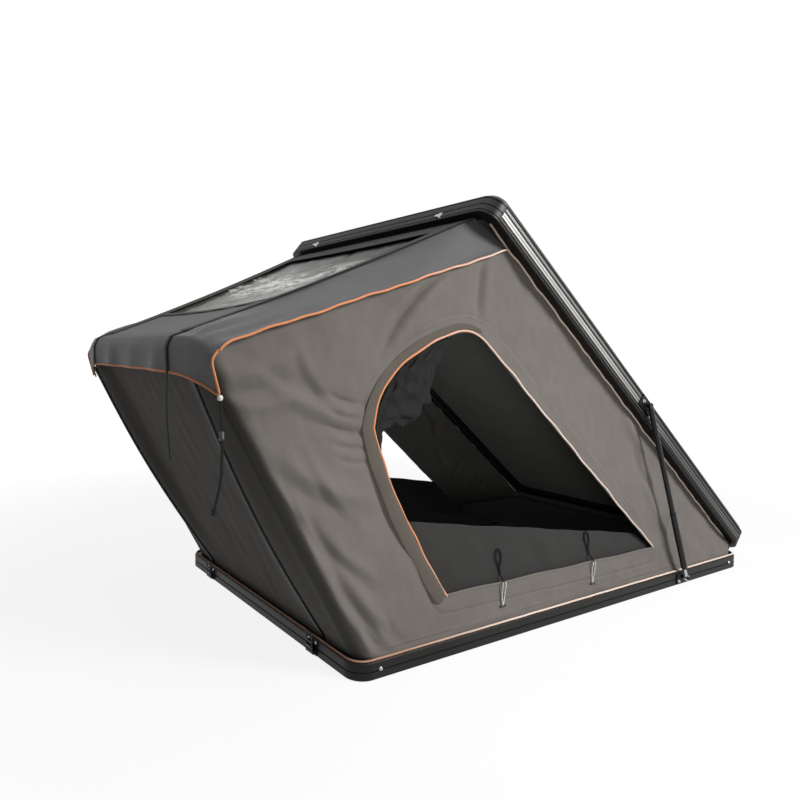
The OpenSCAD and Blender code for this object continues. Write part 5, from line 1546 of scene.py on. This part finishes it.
def panel_top(x):
    """Height of a let-down door panel's free edge: it slopes from the door's front to its rear corner."""
    return 0.44 - 0.174 * (x + 0.825)


def panel_out(x, z, rise):
    """How far the panel's outer face stands from the middle: just inside the wall, leaning in as it rises."""
    return wall_out(x, z) - 0.011 - 0.020 * rise


# A tie bar: places along it and the share of its full width there
BAR = ((-0.0125, 0.4), (-0.012, 0.85), (-0.010, 1.0), (0.010, 1.0), (0.012, 0.85), (0.0125, 0.4))
# A tie's loop from the sill up: along the tent, out from the wall (or against the panel) and up
TIE_LOOP = ((0, 0.006, 0.003), (0, 0.001, 0.010), (0.001, None, 0.026), (-0.001, None, 0.045),
            (-0.006, None, 0.060), (-0.012, None, 0.078), (-0.011, None, 0.096), (0, None, 0.109),
            (0.011, None, 0.097), (0.012, None, 0.079), (0.006, None, 0.060), (0.002, None, 0.046),
            (0.004, None, 0.026))


class TENT_OT_doors(bpy.types.Operator):
    """Door welts, sill hems, rain gutters, let-down door panels, mesh rolls and ties"""

    bl_idname = "tent.doors"
    bl_label = "Doors"

    def execute(self, context):
        for side, word in SIDES:
            self.welt(side, word)
            self.gutter(side, word)
            self.flap(side, word)
            self.mesh_roll(side, word)
        self.ties()
        return {"FINISHED"}

    def welt(self, side, word):
        f = finishes()
        r = sizes().piping / 2
        round_ = offset_line(spaced(door_outline()[SILL_STEPS:], 420), 0.0042)
        round_ = np.concatenate([round_, [[0.418, 0.1785]]])
        s = np.linspace(0, 1, len(round_))
        lift = 0.0038 + 0.0008 * np.sin(s * 70)
        run = on_wall(round_, side, lift)
        sway = offset_line(round_, 0.0016 * np.sin(s * 47) + 0.0012 * np.sin(s * 113))
        run[:, 0], run[:, 2] = sway[:, 0], sway[:, 1]
        settle(tube("door_welt_" + word, run, r, f["piping"], 10), "base", ["door_piping_" + word], FOLD_DOWN)
        x = np.linspace(0.418, -0.684, 200)
        line = np.stack([x, sill(x) + 0.0015 * np.sin(np.linspace(0, 23, 200))], 1)
        hem = tube("sill_hem_" + word, on_wall(line, side, -0.0005), 0.0042, f["canvas"], 10)
        settle(hem, "base", ["door_piping_" + word], FOLD_DOWN)

    def gutter(self, side, word):
        f = finishes()
        edge = spaced(door_outline()[SILL_STEPS:128], 240)
        s = np.linspace(0, 1, 240)
        slim = 1 - 0.45 * np.clip((s - 0.42) / 0.3, 0, 1)
        run = offset_line(edge, 0.0075 + (GUTTER_OUT - 0.0075) * slim)
        end = np.clip(np.minimum(s / 0.02, (1 - s) / 0.15), 0, 1) ** 0.6
        a = np.linspace(0, 2 * np.pi, 20, endpoint=False)
        wide = 0.0235 * slim * (0.35 + 0.65 * end) * (1 + 0.06 * np.sin(s * 29))
        high = 0.0048 * slim ** 1.5 * (0.25 + 0.75 * end) * (1 + 0.2 * np.sin(s * 51 + 1))
        lean = np.sin(a)[None] * (1 + 0.35 * np.cos(a)[None])
        prof = np.stack([wide[:, None] * np.cos(a)[None], high[:, None] * lean], 2)
        line = on_wall(run, side, 0.0066 * slim * (0.4 + 0.6 * end))
        rows = swept(line, prof, upright=(0, side, 0))
        obj = outwards(grid("rain_gutter_" + word, rows, f["gutter"], around=True, caps=True))
        settle(obj, "base", ["door_piping_" + word], FOLD_DOWN)

    def flap(self, side, word):
        f = finishes()
        u = np.linspace(0, 1, 150)[None]
        v = np.linspace(0, 1, 110)[:, None]
        rise = np.clip(v / PANEL_STANDS, 0, 1)
        fall = np.clip((v - PANEL_STANDS) / (1 - PANEL_STANDS), 0, 1)
        crest_x, foot_x = -0.84 + 1.184 * u, -0.69 + 1.122 * u
        crest_z = panel_top(crest_x) + 0.0012 * np.sin(u * 17) + 0.0008 * np.sin(u * 41)
        x = foot_x + (crest_x - foot_x) * rise
        z = PANEL_FOOT_Z + (crest_z - PANEL_FOOT_Z) * rise
        out = panel_out(x, z, rise)
        soft = ripple(x, z, 61, (0.36, 0.2, 0.11), 0.010) * np.sin(np.pi * np.clip(v / 0.5, 0, 1))
        out = out - np.maximum(soft, -0.003) - 0.44 * fall ** 1.25
        bed = 0.102 + np.maximum(ripple(crest_x + 0 * v, out, 63, (0.3, 0.16), 0.009), -0.006)
        z = np.where(v > PANEL_STANDS, bed + (crest_z - bed) * (1 - fall) ** 2.4, z)
        x = x + (-0.59 + 0.98 * u - crest_x) * fall
        # The panel's near-black colour is painted shade inside the doorway
        obj = grid("door_panel_" + word, np.stack([x, side * out, z], 2), f["flap"])
        thicken(facing(obj, (0, 0, 1)), sizes().cloth)
        settle(obj, "base", ["door_flap_" + word], BED_FOLD)
        declare_sheet(obj)

    def mesh_roll(self, side, word):
        f = finishes()
        s = np.linspace(0, 1, 170)
        wide = 0.012 + 0.082 * np.exp(-((s - 0.62) / 0.22) ** 2)
        deep = 0.008 + 0.016 * np.exp(-((s - 0.62) / 0.24) ** 2)
        line = offset_line(smooth_path(mesh_edge(), 170), 0.006 - 0.86 * wide)
        path = np.stack([line[:, 0], side * (0.600 - 1.15 * deep), line[:, 1]], 1)
        a = np.linspace(0, 2 * np.pi, 72, endpoint=False)
        lump = 1 + 0.13 * np.sin(7 * a[None] + 26 * s[:, None])
        lump += 0.10 * np.sin(13 * a[None] - 41 * s[:, None])
        lump += 0.08 * np.sin(3 * a[None] + 63 * s[:, None] + 1)
        ends = np.clip(np.minimum(s, 1 - s) / 0.05, 0.15, 1)[:, None]
        oval = np.stack([wide[:, None] * np.cos(a)[None], deep[:, None] * np.sin(a)[None]], 2)
        prof = (lump * ends)[..., None] * oval
        rows = swept(path, prof, upright=(0, side, 0))
        obj = outwards(grid("mesh_roll_" + word, rows, f["mesh"], around=True, caps=True))
        settle(obj, "base", ["door_mesh_" + word], ((0, 0, 1), (0, 0, 0.10), 0.012))

    def over_panel(self, x, z):
        """Where a cord lies against the panel's outer face."""
        rise = min(1.0, (z - PANEL_FOOT_Z) / (panel_top(x) - PANEL_FOOT_Z))
        return float(panel_out(x, z, rise)) + 0.0065

    def ties(self):
        f = finishes()
        tabs, bars, loops = [], [], []
        for side in (-1, 1):
            for x in (-0.437, 0.036):
                y, z = float(wall_out(x, 0.12)) + 0.0026, sill(x)
                band = [(x - 0.006, y + 0.007, z + 0.004), (x - 0.007, y + 0.006, z - 0.012),
                        (x - 0.006, y + 0.002, z - 0.045), (x - 0.001, y + 0.001, z - 0.076),
                        (x + 0.001, y + 0.001, z - 0.076), (x + 0.006, y + 0.002, z - 0.045),
                        (x + 0.007, y + 0.006, z - 0.012), (x + 0.006, y + 0.007, z + 0.004)]
                path = smooth_path(band, 60)
                path[:, 1] *= side
                tabs.append(tube("tie_elastic", path, 0.0026, f["elastic"], 8))
                a = np.linspace(0, 2 * np.pi, 12, endpoint=False)
                bar_y, bar_z = y + 0.002, z - 0.079
                rows = [[(x + w, side * (bar_y + 0.0032 * np.cos(b) * r), bar_z + 0.0036 * np.sin(b) * r)
                         for b in a] for w, r in BAR]
                bars.append(outwards(grid("tie_bar", rows, f["plastic"], around=True, caps=True)))
                path = smooth_path([(x + a, y + b if b is not None else self.over_panel(x + a, z + h), z + h)
                                    for a, b, h in TIE_LOOP], 120)
                path[:, 1] *= side
                loops.append(tube("tie_cord", path, 0.0026, f["webbing"], 8))
        settle(joined("tie_elastics", tabs), "base", ["door_ties"], TIE_FOLD)
        settle(joined("tie_bars", bars), "base", ["door_ties"], TIE_FOLD)
        settle(joined("tie_cords", loops), "base", ["door_ties"], BED_FOLD)


class TENT_OT_bed(bpy.types.Operator):
    """Foam mattress with a crowned top and drawn-in sides"""

    bl_idname = "tent.bed"
    bl_label = "Bed"

    def execute(self, context):
        f = finishes()
        levels, low, high = 9, 0.0406, 0.0880
        square = 0.09
        half_x, half_y = 0.985, 0.586
        rows = []
        for k in range(levels):
            h = k / (levels - 1)
            bulge = 0.006 * math.sin(math.pi * h) - 0.004
            ring = []
            for q in np.linspace(0, 2 * np.pi, 400, endpoint=False):
                cs, sn = math.cos(q), math.sin(q)
                px = math.copysign(abs(cs) ** square, cs) * (half_x + bulge - 0.005 * (1 - abs(sn)))
                py = math.copysign(abs(sn) ** square, sn) * (half_y + bulge - 0.005 * (1 - abs(cs)))
                ring.append((px, py, low + (high - low) * h))
            rows.append(ring)
        rows = np.array(rows)
        crown = []
        for share in (0.97, 0.9, 0.75, 0.55, 0.3, 0.1):
            r = rows[-1].copy()
            r[:, :2] *= share
            r[:, 2] += 0.0022 * (1 - share) ** 0.5
            crown.append(r)
        under = []
        for share in (0.1, 0.5, 0.9, 0.97):
            r = rows[0].copy()
            r[:, :2] *= share
            under.append(r)
        rows = np.concatenate([under, rows, crown])
        pad = outwards(grid("mattress_pad", rows, f["knit"], around=True, caps=True))
        flat = np.array([(v.co.x, v.co.y) for v in pad.data.vertices], np.float32)
        layer = pad.data.uv_layers["UVMap"].data
        index = np.empty(len(pad.data.loops), np.int32)
        pad.data.loops.foreach_get("vertex_index", index)
        layer.foreach_set("uv", flat[index].ravel())
        settle(pad, "base", ["mattress"], None)
        return {"FINISHED"}


def sewing_tree(finish):
    """Geometry nodes that lay stitches along a line."""
    tree = bpy.data.node_groups.new("run of stitches", "GeometryNodeTree")
    face = tree.interface
    face.new_socket("Line", in_out="INPUT", socket_type="NodeSocketGeometry")
    for name, value in (("Step", 0.008), ("Length", 0.005), ("Thread", 0.0012)):
        face.new_socket(name, in_out="INPUT", socket_type="NodeSocketFloat").default_value = value
    face.new_socket("Stitches", in_out="OUTPUT", socket_type="NodeSocketGeometry")
    given = add(tree, "NodeGroupInput")
    curve_ = add(tree, "GeometryNodeMeshToCurve", links={0: given.outputs["Line"]})
    even = add(tree, "GeometryNodeResampleCurve", {"mode": "LENGTH"},
               links={"Curve": curve_.outputs[0], "Length": given.outputs["Step"]})
    grain = add(tree, "GeometryNodeMeshIcoSphere", None, {"Radius": 0.5, "Subdivisions": 1})
    way = add(tree, "FunctionNodeAlignRotationToVector", {"axis": "X"},
              links={"Vector": add(tree, "GeometryNodeInputTangent").outputs[0]})
    size = add(tree, "ShaderNodeCombineXYZ", links={0: given.outputs["Length"], 1: given.outputs["Thread"],
                                                    2: given.outputs["Thread"]})
    laid = add(tree, "GeometryNodeInstanceOnPoints",
               links={"Points": even.outputs[0], "Instance": grain.outputs[0], "Rotation": way.outputs[0],
                      "Scale": size.outputs[0]})
    real = add(tree, "GeometryNodeRealizeInstances", links={0: laid.outputs[0]})
    done = add(tree, "GeometryNodeSetMaterial", None, {"Material": finish}, {"Geometry": real.outputs[0]})
    add(tree, "NodeGroupOutput", links={0: done.outputs[0]})
    return tree


def bolt_tree(finish):
    """Geometry nodes that set a flanged hex bolt on each marked point, along its facing attribute."""
    tree = bpy.data.node_groups.new("flanged bolts", "GeometryNodeTree")
    face = tree.interface
    face.new_socket("Points", in_out="INPUT", socket_type="NodeSocketGeometry")
    face.new_socket("Head", in_out="INPUT", socket_type="NodeSocketFloat").default_value = 0.01
    face.new_socket("Bolts", in_out="OUTPUT", socket_type="NodeSocketGeometry")
    given = add(tree, "NodeGroupInput")
    flange = add(tree, "GeometryNodeMeshCone", None,
                 {"Vertices": 20, "Radius Top": 0.46, "Radius Bottom": 0.62, "Depth": 0.16})
    hexagon = add(tree, "GeometryNodeMeshCone", None,
                  {"Vertices": 6, "Radius Top": 0.42, "Radius Bottom": 0.46, "Depth": 0.42})
    head = add(tree, "GeometryNodeJoinGeometry", links={0: flange.outputs["Mesh"]})
    tree.links.new(hexagon.outputs["Mesh"], head.inputs[0])
    facing_ = add(tree, "GeometryNodeInputNamedAttribute", {"data_type": "FLOAT_VECTOR"}, {"Name": "facing"})
    way = add(tree, "FunctionNodeAlignRotationToVector", {"axis": "Z"}, links={"Vector": facing_.outputs[0]})
    laid = add(tree, "GeometryNodeInstanceOnPoints",
               links={"Points": given.outputs["Points"], "Instance": head.outputs[0],
                      "Rotation": way.outputs[0], "Scale": given.outputs["Head"]})
    real = add(tree, "GeometryNodeRealizeInstances", links={0: laid.outputs[0]})
    done = add(tree, "GeometryNodeSetMaterial", None, {"Material": finish}, {"Geometry": real.outputs[0]})
    add(tree, "NodeGroupOutput", links={0: done.outputs[0]})
    return tree


def grown(name, points, edges, tree, inputs, attribute=None):
    """A plain mesh of what a node tree makes from points and edges."""
    mesh = bpy.data.meshes.new(name)
    mesh.from_pydata(np.asarray(points, float).tolist(), edges, [])
    if attribute is not None:
        mesh.attributes.new("facing", "FLOAT_VECTOR", "POINT").data.foreach_set(
            "vector", np.asarray(attribute, np.float32).ravel())
    obj = link(bpy.data.objects.new(name, mesh))
    nodes = obj.modifiers.new("nodes", "NODES")
    nodes.node_group = tree
    for item in tree.interface.items_tree:
        if item.item_type == "SOCKET" and item.in_out == "INPUT" and item.name in inputs:
            nodes[item.identifier] = inputs[item.name]
    return applied(obj)


class TENT_OT_stitches(bpy.types.Operator):
    """Stitch rows round the doors, along the wall hems and along the fly's welts"""

    bl_idname = "tent.stitches"
    bl_label = "Stitches"

    def execute(self, context):
        f = finishes()
        s = sizes()
        tree = sewing_tree(f["thread"])
        inputs = {"Step": s.stitch_step, "Length": s.stitch, "Thread": 0.0013}
        for side, word in SIDES:
            lines = []
            round_ = spaced(door_outline()[SILL_STEPS + 4:], 500)
            for away in (SEAM_OUT, SEAM_OUT * 0.24):
                lines.append(on_wall(offset_line(round_, away), side, 0.0018))
            hem = np.stack([np.linspace(-0.93, 0.93, 300), np.full(300, 0.0775)], 1)
            lines.append(on_wall(hem, side, 0.0014))
            self.sew("wall_stitches_" + word, lines, tree, inputs, "base", FOLD_DOWN)
            t = np.linspace(0.02, 0.99, 200)
            seam = mirrored(fly_roof(-2 + 0.06 + 0 * t, t), side)
            seam[:, 1] += side * 0.001
            seam[:, 2] += 0.0006
            self.sew("fly_stitches_" + word, [seam], tree, inputs, "lid", roof_fold(side))
        return {"FINISHED"}

    def sew(self, name, lines, tree, inputs, body, fold):
        points = np.concatenate(lines)
        edges = []
        first = 0
        for line in lines:
            edges += [(first + k, first + k + 1) for k in range(len(line) - 1)]
            first += len(line)
        settle(grown(name, points, edges, tree, inputs), body, (), fold)


class TENT_OT_bolts(bpy.types.Operator):
    """Bolts of the strut brackets, rail ends and latches"""

    bl_idname = "tent.bolts"
    bl_label = "Bolts"

    def execute(self, context):
        f = finishes()
        tree = bolt_tree(f["steel"])
        # Places and facings: strut brackets and rail ends on the base, lid brackets, latch plates
        base, lid, latch = [], [], []
        for side in (-1, 1):
            base += [((x, side * 0.6542, 0.016), (0, side, 0)) for x in (0.571, 0.629)]
            base += [((x, side * 0.6505, 0.030), (0, side, 0)) for x in (-0.96, 0.96)]
            lid += [((x, side * 0.6562, z), (0, side, 0)) for x, z in ((0.2969, 0.7742), (0.3396, 0.7380))]
            latch += [((-1.0532, y, 0.0455), (-1, 0, 0)) for y in (side * 0.3902, side * 0.4298)]
        for name, body, spots, head in (("base_bolts", "base", base, 1.0), ("bracket_bolts", "lid", lid, 1.1),
                                        ("latch_bolts", "base", latch, 0.9)):
            made = grown(name, [p for p, _ in spots], [], tree, {"Head": sizes().screw * head},
                         [w for _, w in spots])
            settle(made, body, (), None)
        return {"FINISHED"}


class VIEW3D_PT_tent(bpy.types.Panel):
    """Lists the tent's sizes, colours and pieces"""

    bl_label = "Roof Top Tent"
    bl_idname = "VIEW3D_PT_tent"
    bl_space_type = "VIEW_3D"
    bl_region_type = "UI"
    bl_category = "Tent"

    def draw(self, context):
        for group in (context.scene.tent_sizes, context.scene.tent_colours, context.scene.tent_stage):
            box = self.layout.box()
            for key in group.__annotations__:
                box.prop(group, key)
        for operator in OPERATORS:
            self.layout.operator(operator.bl_idname)


GROUPS = (TentSizes, TentColours, TentStage)
OPERATORS = (TENT_OT_stage, TENT_OT_cord, TENT_OT_shell, TENT_OT_piping, TENT_OT_walls, TENT_OT_fly,
             TENT_OT_rods, TENT_OT_doors, TENT_OT_bed, TENT_OT_stitches, TENT_OT_bolts)


def register():
    for cls in (*GROUPS, *OPERATORS, VIEW3D_PT_tent):
        bpy.utils.register_class(cls)
    bpy.types.Scene.tent_sizes = PointerProperty(type=TentSizes)
    bpy.types.Scene.tent_colours = PointerProperty(type=TentColours)
    bpy.types.Scene.tent_stage = PointerProperty(type=TentStage)


def unregister():
    for name in ("tent_sizes", "tent_colours", "tent_stage"):
        delattr(bpy.types.Scene, name)
    for cls in reversed((*GROUPS, *OPERATORS, VIEW3D_PT_tent)):
        bpy.utils.unregister_class(cls)


def main():
    register()
    bpy.ops.tent.stage()
    bpy.ops.tent.cord()
    bpy.ops.tent.shell()
    bpy.ops.tent.piping()
    bpy.ops.tent.walls()
    bpy.ops.tent.fly()
    bpy.ops.tent.rods()
    bpy.ops.tent.doors()
    bpy.ops.tent.bed()
    bpy.ops.tent.stitches()
    bpy.ops.tent.bolts()


if __name__ == "__main__":
    main()
